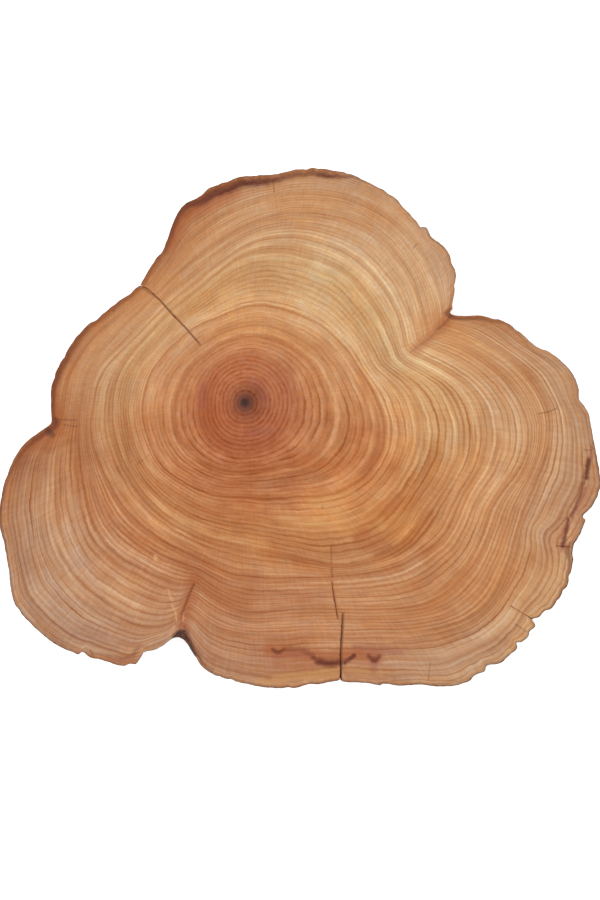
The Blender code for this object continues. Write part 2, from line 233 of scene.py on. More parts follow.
# Tinted wood as seen from above, each patch as (points, width, strength)
TINTS = {
    # Reddish-orange wood beside the stains and seams
    "glow": (
        (((28, -55), (33, -52.5)), 8, 0.6),
        (((42, -42), (49, -35)), 9, 0.45),
        (((-9, -30.5), (2, -31)), 4.5, 0.4),
        (((38, 1), (39, -8), (34, -20)), 6, 0.35),
        (((-45, 22), (-48, 10), (-43, -4)), 7, 0.3),
        (((-15, -111), (-6, -112.5), (4, -114), (14, -115), (26, -113), (38, -115)), 12, 0.6),
        (((-12, -118.5), (6, -120.5)), 7, 0.35),
        (((147.5, -20), (146, -30), (141.5, -40), (137.5, -50)), 9, 0.35),
        (((140, -46), (136.5, -58)), 8, 0.5),
        (((76, 56.5), (68, 48), (58, 40)), 10, 0.55),
        (((-59, -100), (-56, -86), (-53, -76)), 11, 0.6),
        (((-67, 92), (-58, 108), (-46, 113), (-34, 118)), 14, 0.6),
        (((-122, 8), (-120, -1), (-134, -9)), 12, 0.4),
        (((36, -58), (44, -54), (52, -46), (60, -37), (66, -28)), 13, 0.3),
        (((-106, -115), (-92, -116.5), (-83, -116)), 9, 0.5),
    ),
    # Yellowish wood outside the bottom stain and below the heart
    "honey": (
        (((-9, -45.5), (2, -47), (12, -48)), 9, 0.35),
        (((6, -37), (16, -34), (26, -33)), 9, 0.4),
        (((40, -48.5), (42, -49)), 7, 0.5),
        (((-20, -126.5), (-6, -125), (6, -123.5), (17, -121.5)), 8, 0.6),
        (((24, -121), (40, -123)), 6, 0.4),
        (((10, -34), (20, -44), (24, -50)), 12, 0.3),
        (((46, -50), (52, -44)), 9, 0.35),
    ),
    # Pinkish wood round the stains
    "blush": (
        (((-13, -114.5), (-6, -113.5), (4, -113.5)), 4.5, 0.45),
        (((28, -110), (36, -110.5), (50, -112)), 6, 0.4),
        (((36.8, -118), (36.8, -121)), 7, 0.45),
        (((145.5, -9.5), (145.4, -15)), 3, 0.7),
        (((142.5, -30), (139, -39), (136, -44.5)), 3.2, 0.55),
        (((133.5, -46), (131.5, -55), (131, -60.5)), 5, 0.5),
        (((-50, 112.5), (-40, 117)), 3, 0.5),
        (((-49, 21), (-48.5, 12)), 8, 0.35),
        (((-24, 24), (-18, 20), (-17, 12)), 9, 0.35),
        (((-24, -2), (-17, -1)), 9, 0.4),
    ),
    # Thin rusty lines along the grain
    "rust": (
        (((-55, -106), (-48.5, -114.5), (-42.5, -118.2), (-35, -121), (-15, -125)), 3.6, 0.45),
        (((-147, -70), (-144, -84), (-138, -94), (-118, -109)), 4, 0.3),
        (((40, -127.5), (70, -128.5), (84, -125.5)), 3.4, 0.35),
        (((-112, -6), (-118, -7), (-127, -12)), 4, 0.25),
        (((38, -63.5), (45, -59.5)), 4, 0.5),
        (((-66, 97), (-62.5, 104), (-56, 108.5)), 7, 0.6),
        (((-42, 119.5), (-30, 124)), 3.6, 0.7),
    ),
}
# Dark and pale marks as seen from above, each as (points, width, strength)
MARKS = {
    # Dark reddish stains
    "stain": (
        (((6.3, -114.6), (10, -117)), 4.2, 0.7),
        (((9, -116.6), (14, -118), (19.4, -117.2)), 6.4, 0.85),
        (((22, -117.2), (25, -115.6), (26.8, -113.8)), 4, 0.85),
        (((-8, -110.4), (0, -110.6), (6.3, -113.4)), 4.6, 0.4),
        (((-13.6, -110.6), (-11, -112.4), (-7.8, -110.6)), 3.4, 0.65),
        (((34.2, -114), (36.8, -116.4), (39.4, -114.4)), 4.2, 0.7),
        (((36.2, -116), (37.6, -116)), 5.4, 0.75),
        (((-24.5, 15.5), (-22.5, 18.5)), 11, 0.22),
        (((-20, 19), (-18.5, 15)), 7, 0.18),
        (((-57.6, -99.6), (-56.2, -102), (-55.2, -105.5)), 3.4, 0.35),
        (((-48, 20.5), (-47.6, 15)), 3.4, 0.14),
        (((144.3, -15.8), (143.7, -20), (142.5, -25)), 4.6, 0.88),
        (((142.5, -25), (139.5, -34.5), (137, -41), (135, -44)), 2.8, 0.66),
        (((134, -45.5), (133.2, -51), (132, -56), (131.2, -59)), 3.2, 0.74),
    ),
    # Bark caught in the lower-left notch
    "pocket": (
        (((-62.8, -104.6), (-60.8, -102.4), (-58.2, -101.6)), 3.8, 0.9),
        (((-58.2, -101.6), (-57, -104.4), (-55.6, -107.8), (-53, -113.4)), 3.4, 0.85),
        (((-60.6, -104.4), (-58.4, -105.4)), 3.4, 0.7),
        (((-126, -1), (-124, -3.4)), 5, 0.55),
    ),
    # The pale torn fibres beside the lower-left seam, and one pale fleck
    "fibre": (
        (((-66, -81), (-64.4, -86)), 1.9, 0.6),
        (((-64, -88.5), (-62.5, -92), (-61.6, -96)), 2, 0.65),
        (((-58.6, -92), (-58.4, -96.5)), 1.6, 0.5),
        (((-65, -103), (-63, -99.5)), 2.4, 0.6),
        (((-72.8, -64), (-72.2, -65.4)), 2.8, 0.75),
    ),
    # Checks, pin knots and the seams where the lobes meet
    "hairline": (
        (((76.2, 57.6), (73.5, 53.5), (69, 49.5)), 2.6, 0.4),
        (((69, 49.5), (65, 45), (60, 41.5), (55, 38)), 1.8, 0.2),
        (((-60.2, -101.6), (-59.2, -93)), 1.8, 0.2),
        (((-59.2, -93), (-56.5, -86), (-55, -82), (-53.2, -78)), 2.3, 0.6),
        (((128, -59), (134.5, -59.3)), 1.3, 0.65),
        (((142, -11), (145.5, -11.2)), 1.2, 0.5),
        (((119, 7), (125, 8.4), (128.5, 10)), 1.3, 0.45),
        (((107.5, -98), (113.5, -102)), 1.4, 0.35),
        (((65, -117.5), (64, -126)), 1.2, 0.35),
        (((-105, -111), (-103.5, -114)), 1.4, 0.4),
        (((58.5, 92), (56.5, 90)), 1.4, 0.35),
        (((-13.5, 124), (-13, 118)), 1.3, 0.4),
        (((-124, 4.6), (-112, 3.8)), 1.7, 0.35),
        (((-118, 1.6), (-112, 0.8)), 1.5, 0.35),
        (((-81.5, -18.5), (-76, -13.5)), 1.6, 0.2),
        (((26.5, 57), (26.8, 57.2)), 2, 0.3),
        (((11, -39.5), (11.2, -39.7)), 2.2, 0.35),
        (((66, 8), (66.2, 8.2)), 2, 0.2),
        (((-93.5, 58.5), (-93.3, 58.7)), 2.2, 0.3),
        (((-80.6, 71.6), (-70, 63.9), (-60, 52.9), (-51, 43), (-50, 41.5)), 2, 0.5),
        (((20.35, -126.4), (20.4, -113.5), (21.1, -98.5), (21.4, -92.8)), 2.5, 0.65),
        (((18.8, -95), (17, -85), (16.5, -81)), 2.1, 0.5),
        (((16.3, -79), (16.1, -76.5)), 1.8, 0.45),
        (((16, -74.5), (15.7, -70)), 1.8, 0.45),
        (((15.6, -67.5), (15.5, -58.5)), 1.7, 0.35),
        (((116.6, -96), (111, -92.4), (105.5, -89)), 1.8, 0.25),
    ),
}

# Dark mark that runs under the bark, as (bearing, depth from the rim, half-width, strength)
RIM_MARKS = (
    (2, 3, 0.6, 0.15), (9, 3.4, 0.6, 0.2), (15, 1, 0.6, 0.2), (19, 1.6, 0.9, 0.45), (22.5, 1.4, 1, 0.55),
    (24.2, 1.8, 1.4, 0.55), (25.5, 0.8, 0.6, 0.15), (41, 0.5, 0.5, 0.35), (44, 0.5, 0.5, 0.2),
    (60, 0.5, 0.5, 0.2), (64, 0.8, 0.7, 0.4), (67, 2.8, 1, 0.55), (70, 3.4, 1.4, 0.9), (74, 2.6, 1.4, 0.6),
    (80, 2.8, 1.5, 0.6), (84, 3.5, 1.7, 0.9), (90, 3.7, 2, 1), (95, 4.2, 1.9, 0.95), (98.5, 3.7, 2, 0.9),
    (103, 2.6, 2, 0.8), (106, 1.4, 1.8, 0.75), (109, 1, 1.4, 0.6), (113, 1.2, 1.4, 0.5), (119, 1, 1.2, 0.35),
    (130, 0.9, 1.1, 0.3), (145, 1, 1.1, 0.3), (153, 1, 1.1, 0.35), (157, 1.5, 1.5, 0.5), (163, 1.6, 1.7, 0.5),
    (170, 1.6, 1.6, 0.6), (178, 1.2, 1.3, 0.55), (183.5, 0.8, 0.9, 0.45), (186, 2.5, 1.9, 0.8),
    (188.5, 2.5, 1.5, 0.6), (192, 2, 1.1, 0.45), (197, 1.3, 0.9, 0.35), (205, 0.9, 0.9, 0.35),
    (215, 0.7, 0.7, 0.2), (230, 0.5, 0.5, 0.15), (238, 1.5, 0.6, 0.05), (240, 3.4, 0.8, 0.15),
    (246, 3.8, 0.8, 0.3), (249, 2, 0.7, 0.1), (252.5, 0.8, 0.8, 0.05), (254.5, 1.4, 1.6, 0.9),
    (257, 2, 0.8, 0.65), (260, 1.6, 0.7, 0.6), (264, 1, 0.6, 0.3), (290, 0.5, 0.5, 0.2),
    (310, 0.4, 0.5, 0.25), (320, 0.5, 0.5, 0.3), (327, 0.5, 0.7, 0.5), (333, 1.3, 0.9, 0.45),
    (335.8, 3, 1.2, 0.6), (337.5, 0.8, 0.6, 0.2), (348, 0.5, 0.5, 0.25),
)
# How strongly the rings stand out, as (bearing, factor)
RING_CONTRAST = (
    (0, 1.5), (25, 1.05), (45, 0.8), (65, 0.8), (85, 0.95), (100, 0.95), (130, 0.8), (160, 0.9), (180, 1),
    (205, 1.35), (230, 1.6), (255, 1.45), (275, 1.2), (300, 1.3), (325, 1.4), (345, 1.6),
)
# Soft patches of tone: points, spread, then paler and, where it has them, warmer and ruddier, in tenths
PATCHES = (
    (((-86, 18), (-86, -18)), 8, 0, -1),
    (((-75, 14), (-76, 2)), 5, -0.9),
    (((-40, 80), (5, 84)), 9, 0, -0.8),
    (((15, -62), (30, -70)), 8, -0.4, -0.9),
    (((-25, -28), (8, -25)), 3, 0, -1.5),
    (((115, -62),), 9, 0, -0.9),
    (((48, -53),), 4, 0, 1.6),
    (((-95, -35), (-75, -55)), 10, 0, 0.8),
    (((-76, 72), (-60, 68)), 7, 0, 1),
    (((-68, -101), (-110, -103)), 7, 0, -0.8),
    (((55, 42),), 5, 0, 1.2),
    (((-50, -62), (-38, -72), (-24, -77)), 4.5, -2.4),
    (((-86, -21), (-55, -37)), 3.5, -1.7),
    (((0, -67), (15, -71), (48, -69)), 3, -1.8),
    (((0, 100), (30, 102)), 5, -1.2),
    (((57, -30), (52, -44)), 4.5, -2.4),
    (((33, -6), (32, -13)), 4, -1.8),
    (((102, -12), (100, -17)), 4, -1.7),
    (((119, -67), (130, -56)), 4.5, -2.2),
    (((45, 35), (68, 20)), 4, -1.4),
    (((-22, 44), (-5, 46), (8, 40)), 3.5, -1.5),
    (((-46, 12), (-43, -5)), 5, -1),
    (((-136, -19),), 5, -2.4, -1),
    (((82, 5), (79, -20), (71, -42)), 4, 1.6),
    (((90, 43),), 5, 1.5),
    (((137.5, -6),), 5, 1.2),
    (((-17.5, 21.5),), 5, 1, 0.6),
    (((57, -67),), 4, 2),
    (((45, -38),), 4, 2),
    (((85, -97),), 6, 1.4),
    (((-86, -90),), 8, 1),
    (((-40, 70),), 5, 1.2),
    (((15, -111.5),), 4, 1.5),
    (((46, 36),), 8, -0.8, -1.4),
    (((10, 62),), 24, 2.6, 0.2),
    (((60, 36),), 20, 1.8, 1),
    (((-30, 48),), 14, 1.5, 1.5),
    (((-45, 92),), 22, -1.6, 0.2),
    (((-108, -12),), 17, -3.6, -0.2),
    (((-100, -55),), 40, -2.5, -0.8),
    (((-130, -75),), 26, 0.4, -1.2),
    (((-75, -75),), 20, -0.4, 0.2),
    (((20, -95),), 60, -3.6, -0.3),
    (((88, -60),), 26, -2.4, 0.8),
    (((82, -20),), 16, -1.2, 0.2),
    (((18, -42),), 15, 3.2, 1.6),
    (((50, -47),), 10, 0, 0.7),
    (((-28, -42),), 18, -2),
    (((-38, 2),), 12, -1.6, 0.6),
    (((-40, -108),), 25, -1.8, -1),
    (((27, 4),), 13, -0.6, 0.3),
    (((9, 13),), 12, 2, 0.3),
    (((-5, 118),), 18, -2.4),
    (((-75, 14),), 14, 1.5, 0.4),
    (((-97, 16),), 12, -1, -0.4),
    (((-60, 49),), 12, 0.4, -1),
    (((0, 106),), 14, 1, 0.4),
    (((124, 2),), 22, 1.3),
    (((132, -25),), 22, -1.4),
    (((122, -80),), 16, 1.8, 1.6),
    (((90, 46),), 12, -0.7, 0.9),
    (((-10, -85),), 50, 0, 0, 0.6),
    (((-90, -45),), 26, 0, 0, 0.45),
    (((85, -35),), 24, 0, 0, 0.25),
    (((0, 48),), 34, 0, 0, -0.35),
    (((40, 25), (41, 5), (36, -8)), 4, 2.2),
    (((55, 30), (65, 10), (67, 0), (62, -12), (55, -25)), 7, 1.9),
    (((67, -2),), 4, 1.6),
    (((105, -20), (100, -30), (92, -42), (85, -55), (78, -66)), 7, 2.6),
    (((-97, -57), (-75, -71)), 4, 1.5),
    (((-28, 62), (-52, 50), (-68, 32), (-74, 12)), 3.5, 1.5),
    (((-94, 28), (-98, 5), (-96, -6)), 3, 1.4),
    (((-20, 108), (0, 108.5)), 3, 1),
    (((2, 55), (15, 49), (24, 38)), 3, 1.6),
    (((-19, -62),), 6, 1.5, 1.2),
    (((4, -30), (8, -45)), 5, 1, 0.6),
    (((20, -30),), 6, 1.5, 1),
    (((116, -53),), 7, 1.8),
    (((-95, -35), (-80, -52), (-62, -62), (-48, -74), (-40, -86), (-31, -88)), 5.5, -2.4),
    (((-30, -26), (0, -22), (8, -17)), 3.5, -2),
    (((14, -21), (28, -20)), 4, -2.8),
    (((-38, -38), (-18, -39)), 3, -2),
    (((30, -38), (38, -30), (46, -23)), 5, -3),
    (((-12, -57), (0, -62), (10, -64), (22, -61), (34, -58), (48, -62), (62, -60)), 3.8, -3, -0.8),
    (((113, 28), (120, 12), (122, 0), (120, -12), (114, -22)), 4, -3),
    (((74, 46), (90, 36), (105, 27)), 4.5, -1.8),
    (((66, 54),), 4, -2.6),
    (((38, 106), (45, 103)), 4, -2.4),
    (((20, 77), (33, 65), (38, 58)), 4, -1.6),
    (((-15, 86), (2, 86)), 4, -1.5),
    (((-90, 25), (-92, 8), (-88, -12)), 3.5, -1.8),
    (((-80, 2),), 6, -1),
    (((-98, -101), (-84, -107)), 4, -2.6, -0.8),
    (((-133, -70),), 5, -2.2),
    (((35, -97), (60, -94), (85, -92)), 4, -1.8),
    (((100, -77), (90, -86)), 5, -1.4),
    (((-18, -113), (2, -109), (14, -117)), 3.5, -1.8),
    (((-10, 113), (35, 112)), 4, -1.8),
    (((-24, 17), (-20, 8)), 4.5, -2.4, -0.8),
    (((-36, -3),), 5, 1.2),
    (((-5, 42), (4, 28), (5, 10)), 3, 0, 1),
)
# How much paler the outer wood is, in tenths, as (bearing, fading over SHADE_FAR, fading over SHADE_NEAR)
RIM_SHADE = (
    (0, -2, 3), (14, -2.5, 3.5), (22, -4.5, 2), (30, 1, 1), (50, -0.5, 2), (90, 0, 0), (104, -7, 1),
    (130, -6, 0), (172, -8.5, 0), (192, -8, 3), (204, -5, 1.5), (220, 0, 1), (245, 0.5, 4), (270, 3, 3),
    (290, 0.5, 2.5), (310, 6, 1), (328, 1, 2.5), (348, 2, 4),
)
SHADE_FAR = 10.0
SHADE_NEAR = 2.0
# How much warmer the wood is at the rim, and the depth over which that fades
RIM_WARMTH = 0.16
WARMTH_FADE = 3.0
# Depth from the rim at the pith, beyond the reach of any rim mark
PITH_RIM_DEPTH = 60.0


def linear(red, green, blue):
    """A display colour, 0 to 255 a channel, as linear light."""
    channels = [value / 255.0 for value in (red, green, blue)]
    return tuple(c / 12.92 if c <= 0.04045 else ((c + 0.055) / 1.055) ** 2.4 for c in channels)


def colour_property(name, description, red, green, blue):
    """A colour a user can change, given as a display colour."""
    return bpy.props.FloatVectorProperty(name=name, description=description, subtype="COLOR", size=3,
                                         min=0.0, max=1.0, default=linear(red, green, blue))


class WoodSliceSizes(bpy.types.PropertyGroup):
    """Sizes of the disc, its grid and its relief, in millimetres unless named otherwise."""

    columns: bpy.props.IntProperty(
        name="Columns", description="Grid columns round the disc", default=840, min=120, max=1200)
    top_rows: bpy.props.IntProperty(
        name="Top rows", description="Grid rows from pith to rim on top", default=62, min=20, max=120)
    base_rows: bpy.props.IntProperty(
        name="Base rows", description="Grid rows from pith to rim below", default=22, min=10, max=80)
    wall_rows: bpy.props.IntProperty(
        name="Wall rows", description="Grid rows down the bark", default=14, min=4, max=60)
    pith_radius: bpy.props.FloatProperty(
        name="Pith radius", description="Radius of the small pit at the pith", default=2.3, min=0.5, max=6.0)
    pith_depth: bpy.props.FloatProperty(
        name="Pith depth", description="Depth of the small pit at the pith", default=0.9, min=0.0, max=3.0)
    ridge_depth: bpy.props.FloatProperty(
        name="Ridge depth", description="Depth of the bark's furrows", default=1.5, min=0.0, max=4.0)
    strand_depth: bpy.props.FloatProperty(
        name="Strand depth", description="Depth between the bark's strands", default=0.6, min=0.0, max=2.0)
    edge_wear: bpy.props.FloatProperty(
        name="Edge wear", description="Rounding where the saw left the bark", default=0.45, min=0.0, max=2.0)
    crack_lean: bpy.props.FloatProperty(
        name="Crack lean", description="How far a crack moves sideways on the way down", default=3.2, max=8.0)


class WoodSliceColours(bpy.types.PropertyGroup):
    """Colours of the wood, its stains and its bark."""

    pith: colour_property("Pith", "Core of the stem", 68, 46, 42)
    pith_halo: colour_property("Pith halo", "Grey-brown wood round the core", 116, 70, 56)
    pith_glow: colour_property("Pith glow", "Dark reddish wood round the halo", 150, 86, 59)
    heart: colour_property("Heart", "Reddish heartwood", 173, 100, 65)
    inner: colour_property("Inner wood", "Orange-brown wood outside the heart", 190, 125, 80)
    middle: colour_property("Middle wood", "Tan wood half way out", 199, 145, 95)
    outer: colour_property("Outer wood", "Pale tan wood near the bark", 198, 147, 105)
    rim: colour_property("Rim wood", "Greyer wood under the bark", 187, 139, 103)
    stain: colour_property("Stain", "Dark reddish stains", 92, 36, 31)
    blush: colour_property("Blush", "Pinkish wood round the stains", 160, 92, 78)
    glow: colour_property("Glow", "Reddish-orange wood beside the stains", 172, 94, 56)
    honey: colour_property("Honey", "Yellowish wood", 205, 150, 92)
    pocket: colour_property("Bark pocket", "Bark caught in the notch", 58, 48, 46)
    rust: colour_property("Rust", "Brown wood just inside the bark", 146, 84, 50)
    under_bark: colour_property("Under bark", "Dark mark under the bark", 98, 49, 40)
    hairline: colour_property("Hairline", "Checks and ingrown bark", 98, 50, 30)
    fibre: colour_property("Torn fibre", "Pale torn fibres", 226, 168, 120)
    bark_light: colour_property("Bark strands", "Outer strands of the bark", 150, 124, 102)
    bark_red: colour_property("Bark red", "Fresh inner bark", 132, 82, 58)
    bark_dark: colour_property("Bark furrows", "Deep between the strands", 58, 42, 33)
    crack_wall: colour_property("Crack wall", "Wood inside the cracks", 160, 84, 50)


class WoodSliceStudio(bpy.types.PropertyGroup):
    """The floor, the light and the camera."""

    lens: bpy.props.FloatProperty(
        name="Lens", description="Focal length", default=100.0, min=20.0, max=300.0)
    frame_height: bpy.props.FloatProperty(
        name="Frame height", description="Height of the view at the upper face", default=0.45, unit="LENGTH",
        subtype="DISTANCE")
    frame_middle: bpy.props.FloatVectorProperty(
        name="Frame middle", description="Point under the camera", default=(-0.00012, -0.011), size=2,
        subtype="TRANSLATION", unit="LENGTH")
    floor_span: bpy.props.FloatProperty(
        name="Floor span", description="Width of the floor", default=28.0, unit="LENGTH", subtype="DISTANCE")
    key_power: bpy.props.FloatProperty(
        name="Key power", description="Power of the soft light overhead", default=30.0, min=0.0)
    key_span: bpy.props.FloatProperty(
        name="Key span", description="Width of the light overhead", default=2.4, unit="LENGTH",
        subtype="DISTANCE")
    key_place: bpy.props.FloatVectorProperty(
        name="Key place", description="Where the soft light hangs, aimed at the origin",
        default=(-0.25, 0.35, 2.0), size=3, subtype="TRANSLATION", unit="LENGTH")
    sky: bpy.props.FloatProperty(
        name="Sky", description="Strength of the even light all round", default=0.48, min=0.0)


# Shader sheets


class Signal:
    """A number on a socket. Arithmetic on it adds Math nodes to its sheet."""

    def __init__(self, sheet, socket):
        self.sheet = sheet
        self.socket = socket

    def __add__(self, other):
        return self.sheet.math("ADD", self, other)

    def __sub__(self, other):
        return self.sheet.math("SUBTRACT", self, other)

    def __rsub__(self, other):
        return self.sheet.math("SUBTRACT", other, self)

    def __mul__(self, other):
        return self.sheet.math("MULTIPLY", self, other)

    def __truediv__(self, other):
        return self.sheet.math("DIVIDE", self, other)

    def __pow__(self, other):
        return self.sheet.math("POWER", self, other)

    __radd__ = __add__


class Sheet:
    """The node tree of one material."""

    def __init__(self, name):
        self.material = bpy.data.materials.new(name)
        self.material.use_nodes = True
        self.tree = self.material.node_tree
        self.shader = self.tree.nodes["Principled BSDF"]
        self.place = self.node("ShaderNodeTexCoord").outputs["Object"]

    def node(self, kind, settings=None, inputs=None):
        """A node of that kind, with its settings set first and then its sockets' values or links."""
        made = self.tree.nodes.new(kind)
        for key, value in (settings or {}).items():
            setattr(made, key, value)
        for key, value in (inputs or {}).items():
            self.feed(made.inputs[key], value)
        return made

    def feed(self, target, value):
        """Links or sets one socket."""
        if isinstance(value, Signal):
            value = value.socket
        if isinstance(value, bpy.types.NodeSocket):
            self.tree.links.new(value, target)
        elif target.type == "RGBA":
            target.default_value = (*value, 1.0)
        else:
            target.default_value = value

    def math(self, operation, *values, clamp=False):
        """One Math node."""
        made = self.node("ShaderNodeMath", {"operation": operation, "use_clamp": clamp},
                         dict(enumerate(values)))
        return Signal(self, made.outputs[0])

    def vector_math(self, operation, *values):
        """One Vector Math node with a vector result."""
        return self.node("ShaderNodeVectorMath", {"operation": operation}, dict(enumerate(values))).outputs[0]

    def measure(self, operation, *values):
        """One Vector Math node with a number as its result."""
        made = self.node("ShaderNodeVectorMath", {"operation": operation}, dict(enumerate(values)))
        return Signal(self, made.outputs["Value"])

    def split(self, vector):
        """The three numbers of a vector."""
        made = self.node("ShaderNodeSeparateXYZ", None, {0: vector})
        return [Signal(self, socket) for socket in made.outputs]

    def join(self, x, y, z):
        """A vector of three numbers."""
        return self.node("ShaderNodeCombineXYZ", None, {0: x, 1: y, 2: z}).outputs[0]

    def smooth(self, value, start, end):
        """0 at start to 1 at end, with a smooth S between, either way round."""
        low, high = min(start, end), max(start, end)
        made = self.node("ShaderNodeMapRange", {"interpolation_type": "SMOOTHSTEP"},
                         {"Value": value, "From Min": low, "From Max": high})
        step = Signal(self, made.outputs["Result"])
        return step if start < end else 1.0 - step

    def noise(self, vector, detail, roughness=0.5, scale=1.0):
        """Noise from about -1 to 1 round 0."""
        made = self.node("ShaderNodeTexNoise", {"noise_dimensions": "3D"},
                         {"Vector": vector, "Scale": scale, "Detail": detail, "Roughness": roughness})
        return (Signal(self, made.outputs[0]) - 0.5) * 2.0

    def mix(self, factor, first, second):
        """Two colours mixed."""
        made = self.node("ShaderNodeMix", {"data_type": "RGBA"})
        self.feed(made.inputs[0], factor)
        self.feed(made.inputs[6], first)
        self.feed(made.inputs[7], second)
        return made.outputs[2]

    def times(self, colour, value):
        """A colour times a number."""
        return self.vector_math("MULTIPLY", colour, self.join(value, value, value))

    def ramp(self, value, stops):
        """A colour ramp with (position, colour) stops."""
        made = self.node("ShaderNodeValToRGB", None, {0: value})
        elements = made.color_ramp.elements
        while len(elements) < len(stops):
            elements.new(0.5)
        for element, (position, colour) in zip(elements, stops):
            element.position = position
            element.color = (*colour, 1.0)
        return made.outputs[0]

    def attribute(self, name):
        """A number kept on the mesh."""
        made = self.node("ShaderNodeAttribute", {"attribute_name": name})
        return Signal(self, made.outputs["Fac"])

    def stroke(self, place, points, width):
        """1 on a line drawn through the points, in millimetres, and 0 half a width away."""
        mark = None
        for (ax, ay), (bx, by) in zip(points[:-1], points[1:]):
            run = (bx - ax, by - ay, 0.0)
            square = run[0] ** 2 + run[1] ** 2
            from_start = self.vector_math("SUBTRACT", place, (ax, ay, 0.0))
            share = self.measure("DOT_PRODUCT", from_start, (run[0] / square, run[1] / square, 0.0))
            share = self.math("ADD", share, 0.0, clamp=True)
            nearest = self.vector_math("MULTIPLY_ADD", self.join(share, share, 0.0), run, (ax, ay, 0.0))
            far = self.measure("DISTANCE", place, nearest)
            mark = far if mark is None else self.math("MINIMUM", mark, far)
        return 1.0 - mark / (0.5 * width)

    def strokes(self, place, lines):
        """The strongest of several soft-edged strokes, each given as points, width and strength."""
        total = None
        for points, width, strength in lines:
            mark = self.smooth(self.stroke(place, points, width), 0.0, 0.9) * strength
            total = mark if total is None else self.math("MAXIMUM", total, mark)
        return total

    def finish(self, colour, roughness, height=None, strength=0.0, distance=0.0):
        """Feeds the shader, with a bump of that height where one is given."""
        self.feed(self.shader.inputs["Base Color"], colour)
        self.feed(self.shader.inputs["Roughness"], roughness)
        self.shader.inputs["Specular IOR Level"].default_value = 0.08
        if height is not None:
            bump = self.node("ShaderNodeBump", None,
                             {"Height": height, "Strength": strength, "Distance": distance})
            self.feed(self.shader.inputs["Normal"], bump.outputs[0])
        return self.material


class SawnSheet(Sheet):
    """The sheet of the sawn wood, with the places and the noises that its colours share."""

    def __init__(self):
        super().__init__("sawn_face")
        self.flat = self.vector_math("MULTIPLY", self.place, (1.0 / MM, 1.0 / MM, 0.0))
        self.depth = self.attribute("rim_depth")
        from_pith = self.vector_math("SUBTRACT", self.flat, (*PITH, 0.0))
        self.head_x, self.head_y, _ = self.split(self.vector_math("NORMALIZE", from_pith))
        wander = self.noise(self.flat, 2.0, scale=0.09) * 0.22 + self.noise(self.flat, 1.0, scale=0.5) * 0.1
        self.age = self.attribute("age") + wander

        self.grain = self.drawn_out(self.age * 1.9, 5.0, 3.0, 0.65)
        self.fine = self.drawn_out(self.age * 3.6, 11.0, 1.0, 0.6)
        self.blotch = self.noise(self.flat, 3.0, 0.6, scale=0.03)
        self.bits = self.rayed(self.depth * 0.6, 36.0, 3.0, 0.65)
        x_mm, y_mm, _ = self.split(self.flat)
        self.saw_marks = (self.noise(self.join(x_mm * 0.05, y_mm * 0.9, 3.0), 1.0)
                          + self.noise(self.join(x_mm * 0.9, y_mm * 0.05, 7.0), 1.0))
        drift = self.node("ShaderNodeTexNoise", {"noise_dimensions": "3D"},
                          {"Vector": self.flat, "Scale": 0.35, "Detail": 3.0, "Roughness": 0.65})
        drift = self.vector_math("MULTIPLY_ADD", drift.outputs["Color"], (2.6, 2.6, 0.0), (-1.3, -1.3, 0.0))
        self.loose = self.vector_math("ADD", self.flat, drift)

    def drawn_out(self, across, pace, detail, roughness=0.5):
        """Noise that changes with a number across the rings, and round the face at that pace."""
        return self.noise(self.join(across, self.head_x * pace, self.head_y * pace), detail, roughness)

    def rayed(self, inward, pace, detail, roughness=0.5):
        """Noise that changes round the face at that pace, and with a number along the rays."""
        return self.noise(self.join(self.head_x * pace, self.head_y * pace, inward), detail, roughness)

    def ring_lines(self, count, seed):
        """Dark closing lines of the rings: a slow rise, a quick fall, each ring with its own strength."""
        ring = self.math("ROUND", count)
        after = count - ring
        line = self.math("MAXIMUM", self.math("MINIMUM", 1.0 + after / 0.48, 1.0 - after / 0.2), 0.0) ** 1.4
        chance = Signal(self, self.node("ShaderNodeTexWhiteNoise", {"noise_dimensions": "1D"},
                                        {"W": ring + seed}).outputs["Value"])
        strength = chance * 0.46 + 0.35
        fade = self.drawn_out(ring * 3.7 + seed, 3.4, 2.0) * 1.3 + 0.85
        return line * strength * self.math("MAXIMUM", fade, 0.1)


def ring_tone(sheet, main, contrast, outside, near_rim):
    """How light or dark the rings, bands, rays and saw marks make the wood, about 0."""
    minor = sheet.ring_lines(sheet.age * FINE_LINES_PER_AGE + 0.4, 31.0)
    minor = minor * (contrast * 0.4 + 0.4) * (outside * 0.5 + 0.5)
    marked = sheet.ramp(sheet.age / RIM_AGE, [(at / RIM_AGE, (0.5 + tone,) * 3) for at, tone in RING_TONES])
    marked = Signal(sheet, sheet.node("ShaderNodeRGBToBW", None, {0: marked}).outputs[0]) - 0.5
    band_wave = sheet.drawn_out(sheet.age * 0.42, 2.2, 2.0, 0.6)
    bands = sheet.drawn_out(sheet.age * 0.95 + 60.0, 3.0, 1.0)
    rays = sheet.rayed(sheet.age * 0.4, 95.0, 1.0)
    tone = 0.28 - main * 0.58 - minor * 0.36 + marked * (band_wave * 0.8 + 1.0)
    tone = tone + band_wave * (contrast * 0.2 + 0.05) + bands * (contrast * 0.45 - 0.25)
    tone = tone + sheet.grain * (contrast * 0.16 + 0.14) + sheet.fine * 0.2 + rays * 0.18
    return tone + sheet.saw_marks * 0.05 + sheet.blotch * 0.16 + near_rim * sheet.bits * 0.45


